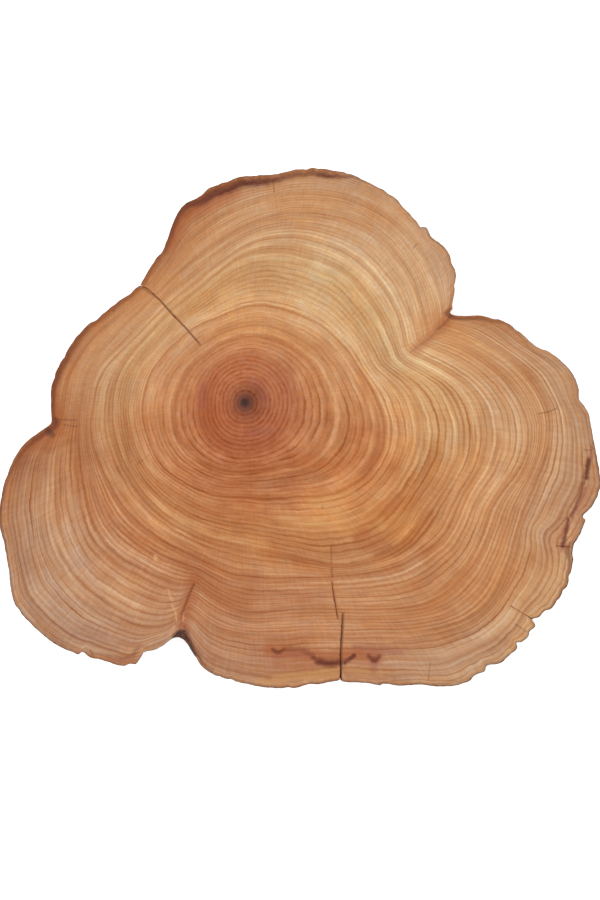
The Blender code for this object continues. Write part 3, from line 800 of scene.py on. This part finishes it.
def bark_line(sheet, wood, colours):
    """The wood darkened inside the rim: rust, the mark under the bark, and the bark's own edge."""
    wobble = sheet.noise(sheet.flat, 3.0, 0.6, scale=0.32)
    bitty = sheet.noise(sheet.flat, 2.0, 0.6, scale=1.1)
    mark_depth = sheet.attribute("mark_depth")
    mark_dark = sheet.attribute("mark_dark")
    mottle = sheet.math("ADD", wobble * 0.9 + bitty * 0.7 + sheet.bits * 0.8, 0.8, clamp=True)
    within = sheet.smooth(sheet.depth - mark_depth + wobble * 0.8, 1.8, -0.4)
    wood = sheet.mix(within * mottle * (mark_dark * 0.8 + 0.04), wood, colours.rust)
    off = sheet.math("ABSOLUTE", sheet.depth + wobble * 0.8 - mark_depth)
    core = sheet.smooth(off / (sheet.attribute("mark_half") * 1.7), 1.0, 0.1)
    wood = sheet.mix(core * mark_dark * (sheet.grain * 0.4 + bitty * 0.4 + 0.9), wood, colours.under_bark)
    edge = sheet.smooth(sheet.depth, 0.7, 0.05)
    return sheet.mix(edge * mottle * (mark_dark * 0.5 + 0.35), wood, colours.bark_dark)


def sawn_face_material(colours):
    """End grain: growth rings, rays, saw marks, stains and checks.

    The wood's colour for its age is multiplied by exp(0.55 tone + 0.45 pale + 0.5 warmth + ruddy) in red,
    by exp(tone + pale) in green and by exp(1.35 tone + 1.45 pale - warmth) in blue.
    """
    sheet = SawnSheet()
    outside = sheet.smooth(sheet.age, 7.0, 11.0)
    contrast = (1.0 + (sheet.attribute("contrast") - 1.0) * outside) * sheet.smooth(sheet.age, 0.3, 2.6)
    main = sheet.ring_lines(sheet.age * RINGS_PER_AGE + 0.1, 0.0) * contrast * (1.55 - outside * 0.55)
    near_rim = sheet.smooth(sheet.depth, 6.0, 0.5)
    tone = ring_tone(sheet, main, contrast, outside, near_rim)
    pale = sheet.attribute("pale")
    fleck = sheet.drawn_out(sheet.age * 0.8, 9.0, 2.0, 0.6)
    tints = sheet.rayed(sheet.depth * 0.5 + 20.0, 22.0, 2.0, 0.6)
    warmth = sheet.attribute("warm") + fleck * 0.22 + sheet.blotch * 0.14 + near_rim * tints * 0.5

    stops = (
        (0.0, colours.pith), (0.35, colours.pith), (1.15, colours.pith_halo), (2.3, colours.pith_glow),
        (4.6, colours.heart), (8.0, colours.heart), (14.5, colours.inner), (18.0, colours.inner),
        (26.0, colours.middle), (34.0, colours.outer), (43.0, colours.outer), (49.0, colours.rim),
    )
    base = sheet.ramp(sheet.age / RIM_AGE, [(at / RIM_AGE, colour) for at, colour in stops])
    logs = (tone * 0.55 + pale * 0.45 + warmth * 0.5 + sheet.attribute("ruddy"),
            tone + pale,
            tone * 1.35 + pale * 1.45 - warmth)
    wood = sheet.vector_math("MULTIPLY", base, sheet.join(*[sheet.math("EXPONENT", log) for log in logs]))

    grainy = sheet.math("ADD", sheet.grain * 0.5 + sheet.fine * 0.3, 0.95, clamp=True)
    for name, lines in TINTS.items():
        wood = sheet.mix(sheet.strokes(sheet.loose, lines) * grainy, wood, getattr(colours, name))
    wood = bark_line(sheet, wood, colours)
    height = sheet.split(sheet.place)[2]
    upper = sheet.smooth(height, 0.2 * THICKNESS * MM, 0.9 * THICKNESS * MM)
    for name, lines in MARKS.items():
        if name == "hairline":
            mark = sheet.strokes(sheet.flat, lines) * upper
        else:
            mark = sheet.strokes(sheet.loose, lines)
        wood = sheet.mix(mark * grainy, wood, getattr(colours, name))

    relief = main * -0.5 + sheet.grain * 0.2 + sheet.saw_marks * 0.15
    return sheet.finish(wood, 0.62 + main * 0.1, relief, 0.18, 0.0003)


def bark_material(colours):
    """Thin stringy bark: upright strands, grey outside and red between, dark in the furrows."""
    sheet = Sheet("bark")
    along, up, _ = sheet.split(sheet.node("ShaderNodeUVMap", {"uv_map": "surface"}).outputs[0])
    furrow = sheet.attribute("furrow")
    across = along + sheet.noise(sheet.join(along * 0.05, up * 0.12, 2.0), 2.0) * 1.6
    strips = sheet.noise(sheet.join(across * 0.34, up * 0.035, 0.0), 2.0, 0.55)
    strands = sheet.noise(sheet.join(across * 1.3, up * 0.07, 3.0), 3.0, 0.65)
    hairs = sheet.noise(sheet.join(across * 4.5, up * 0.2, 4.0), 2.0, 0.6)
    plates = sheet.noise(sheet.join(across * 0.1, up * 0.06, 9.0), 2.0)
    split = sheet.smooth(sheet.math("ABSOLUTE", strips + strands * 0.15), 0.11, 0.0)
    weathered = sheet.smooth(plates + strips * 0.5 + strands * 0.5, -0.55, 0.5)
    colour = sheet.mix(weathered, colours.bark_red, colours.bark_light)
    hollow = sheet.smooth(furrow + strips * 0.25 + strands * 0.3, 0.3, 1.0)
    colour = sheet.mix(hollow, colour, colours.bark_dark)
    colour = sheet.mix(split * (strands * 0.8 + 0.6), colour, colours.bark_dark)
    colour = sheet.times(colour, 1.0 + hairs * 0.26 + strands * 0.4)
    height = strands * 0.5 + hairs * 0.25 + strips * 0.5 - split * 0.6
    return sheet.finish(colour, 0.85, height, 0.75, 0.0012)


def crack_material(colours):
    """Split wood inside the cracks, with the grain running down."""
    sheet = Sheet("crack_wall")
    x, y, z = sheet.split(sheet.place)
    grain = sheet.noise(sheet.join(x * 900.0, y * 900.0, z * 60.0), 2.0, 0.6)
    return sheet.finish(sheet.times(colours.crack_wall, 1.0 + grain * 0.25), 0.9)


# The disc's surface


def hermite(u, start, leaving, end, arriving):
    """The cubic in u that runs from start at 0 to end at 1, with those slopes at its ends."""
    return ((2 * u**3 - 3 * u**2 + 1) * start + (u**3 - 2 * u**2 + u) * leaving
            + (3 * u**2 - 2 * u**3) * end + (u**3 - u**2) * arriving)


def closed_curve(points, count):
    """A closed curve through the points, read at even steps of its length.

    Between two points it is the cubic whose tangent at p[i] is (p[i+1] - p[i-1]) / 2.
    """
    nodes = np.array(points, float)
    before = np.roll(nodes, 1, axis=0)
    after = np.roll(nodes, -1, axis=0)
    second = np.roll(nodes, -2, axis=0)
    steps = np.linspace(0.0, 1.0, 24, endpoint=False)[:, None, None]
    fine = hermite(steps, nodes, 0.5 * (after - before), after, 0.5 * (second - nodes))
    fine = fine.transpose(1, 0, 2).reshape(-1, 2)
    loop = np.vstack((fine, fine[:1]))
    length = np.concatenate(([0.0], np.cumsum(np.hypot(*np.diff(loop, axis=0).T))))
    stops = np.linspace(0.0, length[-1], count, endpoint=False)
    return np.column_stack((np.interp(stops, length, loop[:, 0]), np.interp(stops, length, loop[:, 1])))


def around(table, bearings):
    """The columns of a (bearing, values...) table, read at each bearing in straight lines between rows."""
    known, *columns = np.array(table, float).T
    return [np.interp(bearings, known, column, period=360.0) for column in columns]


def followed(pairs, bearings):
    """A ring's radius at each bearing.

    A cubic between neighbouring pairs, whose slope at a pair is the mean of the slopes on its
    two sides, each weighted by the other side's span.
    """
    angle, radius = np.array(pairs, float).T
    angle = np.concatenate((angle[-2:] - 360.0, angle, angle[:3] + 360.0))
    radius = np.concatenate((radius[-2:], radius, radius[:3]))
    span = np.diff(angle)
    slope = np.diff(radius) / span
    tangent = (slope[:-1] * span[1:] + slope[1:] * span[:-1]) / (span[:-1] + span[1:])
    k = np.clip(np.searchsorted(angle, bearings, side="right") - 1, 1, len(angle) - 3)
    return hermite((bearings - angle[k]) / span[k], radius[k], span[k] * tangent[k - 1], radius[k + 1],
                   span[k] * tangent[k])


def eased(radius, bearings, ease):
    """A ring's radius, averaged over ease degrees each side, and left as it is near the two seams."""
    step = 0.25
    even = np.arange(0.0, 360.0, step)
    raw = np.interp(even, bearings, radius, period=360.0)
    reach = int(ease / step)
    window = np.hanning(2 * reach + 1)
    soft = np.convolve(np.concatenate((raw[-reach:], raw, raw[:reach])), window / window.sum(), mode="valid")
    away = np.min([np.abs((even - seam + 180.0) % 360.0 - 180.0) for seam in SEAMS], axis=0)
    keep = np.clip((away - 1.0) / (ease + 2.0), 0.0, 1.0)
    return np.interp(bearings, even, raw + (soft - raw) * keep, period=360.0)


def rim_columns(outline, count):
    """Bearing, radius and length along of columns spaced evenly round the outline, and its whole length."""
    arms = outline - np.array(PITH)
    bearing = np.degrees(np.arctan2(arms[:, 1], arms[:, 0])) % 360.0
    order = np.argsort(bearing)
    even = np.linspace(0.0, 360.0, FINE_BEARINGS, endpoint=False)
    radius = np.interp(even, bearing[order], np.hypot(arms[:, 0], arms[:, 1])[order], period=360.0)
    step = np.hypot(np.diff(radius, append=radius[0]), np.radians(360.0 / FINE_BEARINGS) * radius)
    length = np.concatenate(([0.0], np.cumsum(step)))
    stops = np.linspace(0.0, length[-1], count, endpoint=False)
    bearings = np.interp(stops, length, np.concatenate((even, [360.0])))
    return bearings, np.interp(bearings, even, radius, period=360.0), stops, length[-1]


def ragged(stops, total):
    """Depth of the small bites in the outline: for each of BITES, its depth times the square of a wave.

    The wave runs through seeded random values from 0 to 1, eased by u^2 (3 - 2 u) between them.
    """
    rng = np.random.default_rng(BITE_SEED)
    depth = np.zeros_like(stops)
    for pitch, size in BITES:
        count = int(total / pitch)
        values = rng.uniform(0.0, 1.0, count)
        place = stops / total * count
        k = np.floor(place).astype(int)
        u = place - k
        u = u * u * (3.0 - 2.0 * u)
        depth += size * (values[k % count] * (1.0 - u) + values[(k + 1) % count] * u) ** 2
    return depth


def radius_at(ages, bearings, rim):
    """Radius of the wood of each age at each bearing, straight in age between the followed rings."""
    known = sorted(RINGS)
    rows = [np.zeros_like(bearings)]
    rows += [eased(followed(RINGS[key], bearings), bearings, RING_EASE) for key in known]
    fold = FOLD[2] * np.exp(-(((bearings - FOLD[0]) / FOLD[1]) ** 2))
    bark_ring = (1.0 - BARK_RING_SHARE) * rows[-1] + BARK_RING_SHARE * rim
    rows.append(eased(bark_ring, bearings, BARK_RING_EASE) - fold)
    rows.append(rim)
    for inner, outer in zip(rows[:-2], rows[1:-1]):
        np.maximum(outer, inner + RING_GAP, out=outer)
    for back in range(len(rows) - 2, 0, -1):
        np.minimum(rows[back], rows[back + 1] - RING_GAP, out=rows[back])
    steps = np.array([0] + known + [BARK_RING_AGE, RIM_AGE], float)
    table = np.array(rows)
    k = np.clip(np.searchsorted(steps, ages, side="right") - 1, 0, len(steps) - 2)
    share = ((ages - steps[k]) / (steps[k + 1] - steps[k]))[:, None]
    return table[k] * (1.0 - share) + table[k + 1] * share


def furrows(stops, total, height):
    """Depth of the bark's furrows, strands and hairs at one height, each 0 on a ridge to about 1 between.

    Each is 0.5 - 0.5 cos of a whole number of turns round the rim, which wander by slow seeded
    waves and slide sideways with height.
    """
    rng = np.random.default_rng(BARK_SEED)
    turn = 2.0 * math.pi * stops / total
    wander = np.zeros_like(turn)
    for harmonic in (3, 5, 8, 13):
        wander = wander + rng.uniform(0.5, 1.4) * np.sin(harmonic * turn + rng.uniform(0.0, 6.28))
    share = height / THICKNESS
    lean = RIDGE_DRIFT * share * np.sin(4.0 * turn + 1.0)
    ridges, strands, hairs = (round(total / pitch) for pitch in (RIDGE_PITCH, STRAND_PITCH, HAIR_PITCH))
    ridge = 0.5 - 0.5 * np.cos(ridges * (turn + 2.0 * math.pi * lean / total) + wander)
    strand = 0.5 - 0.5 * np.cos(strands * turn - 1.7 * wander + 0.9 * share)
    hair = 0.5 - 0.5 * np.cos(hairs * turn + 2.3 * wander + 2.0 * np.sin(7.0 * turn) * share)
    uneven = 0.0
    for harmonic in (7, 17, 29, 43, 61):
        start = rng.uniform(0.0, 6.28)
        slide = 1.6 * share * rng.uniform(-1.0, 1.0)
        uneven = uneven + np.sin(harmonic * turn + start + slide)
    uneven = np.clip(0.7 + 0.22 * uneven, 0.2, 1.0)
    return ridge**1.5 * uneven, strand * (1.3 - uneven), hair


def patch_fields(x, y):
    """Paler, warmer and ruddier, summed from the soft patches.

    Each patch is a Gauss bell over the distance from a line through its points.
    """
    fields = np.zeros((3, len(x)))
    for points, spread, *amounts in PATCHES:
        nodes = np.array(points, float)
        ends = nodes[1:] if len(nodes) > 1 else nodes + (0.1, 0.0)
        square = np.full(len(x), np.inf)
        for (ax, ay), (bx, by) in zip(nodes, ends):
            share = ((x - ax) * (bx - ax) + (y - ay) * (by - ay)) / ((bx - ax) ** 2 + (by - ay) ** 2)
            share = np.clip(share, 0.0, 1.0)
            square = np.minimum(square, (x - ax - share * (bx - ax)) ** 2 + (y - ay - share * (by - ay)) ** 2)
        tenths = np.array((*amounts, 0, 0)[:3])
        fields += 0.1 * tenths[:, None] * np.exp(-square / (2.0 * spread**2))
    return fields


def face_rows(ages, bearings, rim, sizes):
    """Rows of one sawn face, from the pith out: x, y, depth of the pit, age, depth from the rim, furrow."""
    radius = radius_at(ages, bearings, rim)
    angle = np.radians(bearings)
    x = PITH[0] + radius * np.cos(angle)
    y = PITH[1] + radius * np.sin(angle)
    rim_x = PITH[0] + rim * np.cos(angle)
    rim_y = PITH[1] + rim * np.sin(angle)
    pit = np.clip(1.0 - (radius / sizes.pith_radius) ** 2, 0.0, 1.0) * sizes.pith_depth
    rows = []
    for row_x, row_y, row_pit, age in zip(x, y, pit, ages):
        depth = np.hypot(row_x[:, None] - rim_x, row_y[:, None] - rim_y).min(axis=1)
        rows.append([row_x, row_y, row_pit, np.full_like(rim, age), depth, np.zeros_like(rim)])
    return rows


def wall_row(bearings, rim, stops, total, height, sizes):
    """The bark's row at one height, in the order of face_rows, and its radius.

    The rim is pulled in by the furrows, which fade out below the upper edge, and by the lower
    edge's wear.
    """
    ridge, strand, hair = furrows(stops, total, height)
    relief = sizes.ridge_depth * ridge + sizes.strand_depth * strand
    share = min(1.0, (THICKNESS - height) / RIDGE_FADE)
    worn = 0.5 * sizes.edge_wear * max(0.0, 1.0 - height / WORN_HEIGHT)
    reach = rim - (share * relief + HAIR_DEPTH * hair * share**0.5 + worn)
    angle = np.radians(bearings)
    furrow = relief / (sizes.ridge_depth + sizes.strand_depth)
    return [PITH[0] + reach * np.cos(angle), PITH[1] + reach * np.sin(angle), np.full_like(rim, height),
            np.full_like(rim, RIM_AGE), np.zeros_like(rim), furrow], reach


def band_faces(first, second, count):
    """Quads between two rows of a grid that closes on itself."""
    i = np.arange(count)
    j = (i + 1) % count
    return np.column_stack((first + i, first + j, second + j, second + i))


def grid_faces(row_count, count):
    """Faces of the closed grid: its bands, then the fans at the two poles, which come after the rows."""
    bands = [band_faces(k * count, (k + 1) * count, count)[:, ::-1] for k in range(row_count - 1)]
    i = np.arange(count)
    j = (i + 1) % count
    pole = np.full(count, row_count * count)
    last = (row_count - 1) * count
    top_fan = np.column_stack((i, j, pole))
    low_fan = np.column_stack((last + j, last + i, pole + 1))
    return np.vstack(bands).tolist() + top_fan.tolist() + low_fan.tolist()


def new_object(name, data):
    """An object in the scene."""
    made = bpy.data.objects.new(name, data)
    bpy.context.scene.collection.objects.link(made)
    return made


def reshape(mesh, change):
    """Runs a change on the mesh, given as a function of its bmesh."""
    shell = bmesh.new()
    shell.from_mesh(mesh)
    change(shell)
    shell.to_mesh(mesh)
    shell.free()


def add_fields(mesh, columns, bearings):
    """Keeps the numbers that the materials read on the mesh, row by row and then at the two poles."""
    x, y, _, age, depth, furrow = columns
    everywhere = np.tile(bearings, len(x) // len(bearings))
    pale, warm, ruddy = patch_fields(x, y)
    far, near = around(RIM_SHADE, everywhere)
    pale += 0.1 * (far * np.exp(-depth / SHADE_FAR) + near * np.exp(-depth / SHADE_NEAR))
    warm += RIM_WARMTH * np.exp(-depth / WARMTH_FADE)
    mark_depth, mark_half, mark_dark = around(RIM_MARKS, everywhere)
    contrast, = around(RING_CONTRAST, everywhere)
    fields = {"age": (age, 0.0), "rim_depth": (depth, PITH_RIM_DEPTH), "mark_depth": (mark_depth, 1.0),
              "mark_half": (mark_half, 1.0), "mark_dark": (mark_dark, 0.0), "contrast": (contrast, 1.0),
              "furrow": (furrow, 0.0), "pale": (pale, 0.0), "warm": (warm, 0.0), "ruddy": (ruddy, 0.0)}
    for name, (values, at_pole) in fields.items():
        layer = mesh.attributes.new(name, "FLOAT", "POINT")
        layer.data.foreach_set("value", np.concatenate((values, [at_pole, at_pole])).astype(np.float32))


def unroll(mesh, heights, stops, total):
    """Lays the grid out as a "surface" UV map in millimetres: length along the rim, and height."""
    count = len(stops)
    along = np.concatenate((stops, [total]))
    band = np.repeat(np.arange(len(heights) - 1), count)
    column = np.tile(np.arange(count), len(heights) - 1)
    left, right = along[column], along[column + 1]
    above, below = heights[band], heights[band + 1]
    corner_u = np.column_stack((left, right, right, left))
    corner_v = np.column_stack((below, below, above, above))
    quad_uv = np.stack((corner_u, corner_v), axis=2).reshape(-1, 2)
    fan_uv = np.zeros((6 * count, 2))
    surface = mesh.uv_layers.new(name="surface")
    surface.data.foreach_set("uv", np.vstack((quad_uv, fan_uv)).astype(np.float32).ravel())


def build_disc(sizes):
    """The disc as one closed grid: upper face, wall and lower face, with the pith as its poles."""
    outline = closed_curve(RIM, OUTLINE_STEPS)
    shift = -0.5 * (outline.min(axis=0) + outline.max(axis=0))
    count = sizes.columns
    bearings, rim, stops, total = rim_columns(outline, count)
    rim = rim - ragged(stops, total)

    top_ages = np.concatenate((TOP_CORE_AGES, np.linspace(TOP_START_AGE, EDGE_AGE, sizes.top_rows)))
    base_ages = np.concatenate((BASE_CORE_AGES, np.linspace(BASE_START_AGE, EDGE_AGE, sizes.base_rows)))
    rows = face_rows(top_ages, bearings, rim, sizes)
    for row in rows:
        row[2] = THICKNESS - row[2]
    first_wall = len(rows) - 1
    for height in np.linspace(THICKNESS - sizes.edge_wear, sizes.edge_wear, sizes.wall_rows):
        row, low_rim = wall_row(bearings, rim, stops, total, height, sizes)
        rows.append(row)
    rows += face_rows(base_ages, bearings, low_rim, sizes)[::-1]

    columns = [np.concatenate(values) for values in zip(*rows)]
    points = np.column_stack((columns[0] + shift[0], columns[1] + shift[1], columns[2]))
    poles = [(PITH[0] + shift[0], PITH[1] + shift[1], height)
             for height in (THICKNESS - sizes.pith_depth, sizes.pith_depth)]
    points = np.vstack((points, poles)) * MM
    mesh = bpy.data.meshes.new("wood_slice_disc")
    mesh.from_pydata(points.tolist(), [], grid_faces(len(rows), count))
    add_fields(mesh, columns, bearings)
    unroll(mesh, np.array([row[2][0] for row in rows]), stops, total)

    band = np.repeat(np.arange(len(rows) - 1), count)
    is_wall = (band >= first_wall) & (band < first_wall + sizes.wall_rows)
    material_index = np.concatenate((is_wall.astype(np.int32), np.zeros(2 * count, np.int32)))
    mesh.polygons.foreach_set("material_index", material_index)
    mesh.polygons.foreach_set("use_smooth", np.ones(len(mesh.polygons), bool))
    mesh.update()
    return new_object("wood_slice_disc", mesh), shift


def face_outward(shell):
    """Turns every face of a closed shell outward."""
    bmesh.ops.recalc_face_normals(shell, faces=shell.faces[:])


def drop_spare_corners(shell):
    """Takes out the corners that a cut leaves in the middle of an edge, with no third edge."""
    spare = [corner for corner in shell.verts if len(corner.link_edges) == 2]
    bmesh.ops.dissolve_verts(shell, verts=spare)


def crack_path(name):
    """A crack's (x, y, width) at even steps, run on past the bark where the crack opens at the rim."""
    line = np.array(CRACKS[name], float)
    steps = np.concatenate(([0.0], np.cumsum(np.hypot(*np.diff(line[:, :2], axis=0).T))))
    fine = np.linspace(0.0, steps[-1], max(8, int(steps[-1] / CRACK_STEP)))
    line = np.column_stack([np.interp(fine, steps, line[:, part]) for part in range(3)])
    if name not in CRACKS_FROM_RIM:
        return line
    heading = line[0, :2] - line[1, :2]
    heading = heading / np.hypot(*heading)
    outside = np.concatenate((line[0, :2] + MOUTH_OVERRUN * heading, [line[0, 2] * MOUTH_FLARE]))
    return np.vstack((outside, line))


def crack_blade(name, shift, lean, material):
    """A thin wedge along a crack.

    Its sides stand half the crack's width from the path, wander a little by a sum of two sines,
    and slide sideways by the lean from the upper face to the lower.
    """
    line = crack_path(name)
    tangent = np.gradient(line[:, :2], axis=0)
    tangent = tangent / np.hypot(tangent[:, 0], tangent[:, 1])[:, None]
    normal = np.column_stack((-tangent[:, 1], tangent[:, 0]))
    chord = line[-1, :2] - line[0, :2]
    side = np.array((-chord[1], chord[0])) / np.hypot(*chord)
    order = np.arange(len(line))
    wander = 0.05 * np.sin(order * 2.1) + 0.04 * np.sin(order * 3.7 + 1.0)
    # The first two points stay on the path
    wander[:2] = 0.0
    layers = []
    for height in np.linspace(-FACE_OVERRUN, THICKNESS + FACE_OVERRUN, CUT_LAYERS):
        slide = side * lean * (THICKNESS - height) / THICKNESS
        jitter = wander * np.cos(height * 0.31)
        middle = line[:, :2] + normal * jitter[:, None] + slide + shift
        left = middle + normal * line[:, 2:] / 2.0
        right = middle - normal * line[:, 2:] / 2.0
        outline = np.vstack((left, right[::-1]))
        layers.append(np.column_stack((outline, np.full(len(outline), height))))
    count = len(layers[0])
    walls = np.vstack([band_faces(k * count, (k + 1) * count, count) for k in range(len(layers) - 1)])
    k = np.arange(count // 2 - 1)
    cap = np.column_stack((k, k + 1, count - 2 - k, count - 1 - k))
    top = (len(layers) - 1) * count
    mesh = bpy.data.meshes.new(name)
    mesh.from_pydata((np.vstack(layers) * MM).tolist(), [],
                     walls.tolist() + cap[:, ::-1].tolist() + (cap + top).tolist())
    mesh.materials.append(material)
    reshape(mesh, face_outward)
    return new_object(name, mesh)


def cut_cracks(disc, shift, sizes, material):
    """Cuts every crack out of the disc and applies the cuts."""
    blades = [crack_blade(name, shift, sizes.crack_lean, material) for name in CRACKS]
    for blade in blades:
        change = disc.modifiers.new(blade.name, "BOOLEAN")
        change.operation = "DIFFERENCE"
        change.solver = "EXACT"
        change.material_mode = "TRANSFER"
        change.object = blade
    bpy.context.view_layer.update()
    finished = bpy.data.meshes.new_from_object(
        disc.evaluated_get(bpy.context.evaluated_depsgraph_get()))
    disc.modifiers.clear()
    reshape(finished, drop_spare_corners)
    disc.data = finished
    for blade in blades:
        bpy.data.objects.remove(blade, do_unlink=True)


# The studio


def add_floor(studio):
    """A plain white floor just under the slice, which glows a little."""
    half = 0.5 * studio.floor_span
    level = -0.2 * MM
    mesh = bpy.data.meshes.new("floor")
    mesh.from_pydata([(-half, -half, level), (half, -half, level), (half, half, level), (-half, half, level)],
                     [], [(0, 1, 2, 3)])
    paint = bpy.data.materials.new("floor_paint")
    paint.use_nodes = True
    shader = paint.node_tree.nodes["Principled BSDF"]
    for name, value in (("Base Color", (0.93, 0.93, 0.93, 1.0)), ("Roughness", 0.95),
                        ("Specular IOR Level", 0.0), ("Emission Color", (1.0, 1.0, 1.0, 1.0)),
                        ("Emission Strength", 0.65)):
        shader.inputs[name].default_value = value
    mesh.materials.append(paint)
    new_object("floor", mesh)


def add_light(scene, studio):
    """Even light all round, and one wide soft light overhead that faces the origin."""
    world = bpy.data.worlds.new("soft_room")
    scene.world = world
    world.use_nodes = True
    background = world.node_tree.nodes["Background"]
    background.inputs["Color"].default_value = (1.0, 1.0, 1.0, 1.0)
    background.inputs["Strength"].default_value = studio.sky
    lamp = bpy.data.lights.new("overhead_softbox", "AREA")
    lamp.shape = "RECTANGLE"
    lamp.size = studio.key_span
    lamp.size_y = studio.key_span
    lamp.energy = studio.key_power
    softbox = new_object("overhead_softbox", lamp)
    softbox.location = studio.key_place
    x, y, z = studio.key_place
    softbox.rotation_euler = (-math.atan2(y, z), math.atan2(x, z), 0.0)


def add_camera(scene, studio):
    """A camera straight above the slice."""
    lens = bpy.data.cameras.new("overhead_camera")
    lens.lens = studio.lens
    lens.sensor_width = 36.0
    lens.clip_end = 60.0
    camera = new_object("overhead_camera", lens)
    rise = studio.frame_height * studio.lens / lens.sensor_width
    camera.location = (*studio.frame_middle, THICKNESS * MM + rise)
    scene.camera = camera


# The add-on


class WOODSLICE_OT_disc(bpy.types.Operator):
    """Build the sawn disc with its rings, bark and cracks"""

    bl_idname = "woodslice.disc"
    bl_label = "Build the disc"

    def execute(self, context):
        sizes = context.scene.wood_slice_sizes
        colours = context.scene.wood_slice_colours
        disc, shift = build_disc(sizes)
        for material in (sawn_face_material(colours), bark_material(colours)):
            disc.data.materials.append(material)
        cut_cracks(disc, shift, sizes, crack_material(colours))
        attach(disc, "root")
        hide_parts("wood_slice")
        return {"FINISHED"}


class WOODSLICE_OT_studio(bpy.types.Operator):
    """Build the plain floor, the soft light and the camera above the slice"""

    bl_idname = "woodslice.studio"
    bl_label = "Build the studio"

    def execute(self, context):
        studio = context.scene.wood_slice_studio
        add_floor(studio)
        add_light(context.scene, studio)
        add_camera(context.scene, studio)
        context.scene.view_settings.view_transform = "Standard"
        return {"FINISHED"}


class WOODSLICE_PT_panel(bpy.types.Panel):
    """Sizes, colours and build buttons of the wood slice"""

    bl_idname = "WOODSLICE_PT_panel"
    bl_label = "Wood slice"
    bl_space_type = "VIEW_3D"
    bl_region_type = "UI"
    bl_category = "Wood slice"

    def draw(self, context):
        for owner in ("wood_slice_sizes", "wood_slice_colours", "wood_slice_studio"):
            group = getattr(context.scene, owner)
            box = self.layout.box()
            for name in group.bl_rna.properties.keys():
                if name not in ("rna_type", "name"):
                    box.prop(group, name)
        for operator in (WOODSLICE_OT_disc, WOODSLICE_OT_studio):
            self.layout.operator(operator.bl_idname)


CLASSES = (WoodSliceSizes, WoodSliceColours, WoodSliceStudio, WOODSLICE_OT_disc, WOODSLICE_OT_studio,
           WOODSLICE_PT_panel)


def register():
    for item in CLASSES:
        bpy.utils.register_class(item)
    bpy.types.Scene.wood_slice_sizes = bpy.props.PointerProperty(type=WoodSliceSizes)
    bpy.types.Scene.wood_slice_colours = bpy.props.PointerProperty(type=WoodSliceColours)
    bpy.types.Scene.wood_slice_studio = bpy.props.PointerProperty(type=WoodSliceStudio)


def unregister():
    del bpy.types.Scene.wood_slice_studio
    del bpy.types.Scene.wood_slice_colours
    del bpy.types.Scene.wood_slice_sizes
    for item in reversed(CLASSES):
        bpy.utils.unregister_class(item)


def main():
    """Registers the add-on and builds the disc and the studio."""
    register()
    bpy.ops.woodslice.disc()
    bpy.ops.woodslice.studio()
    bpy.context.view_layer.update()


if __name__ == "__main__":
    main()
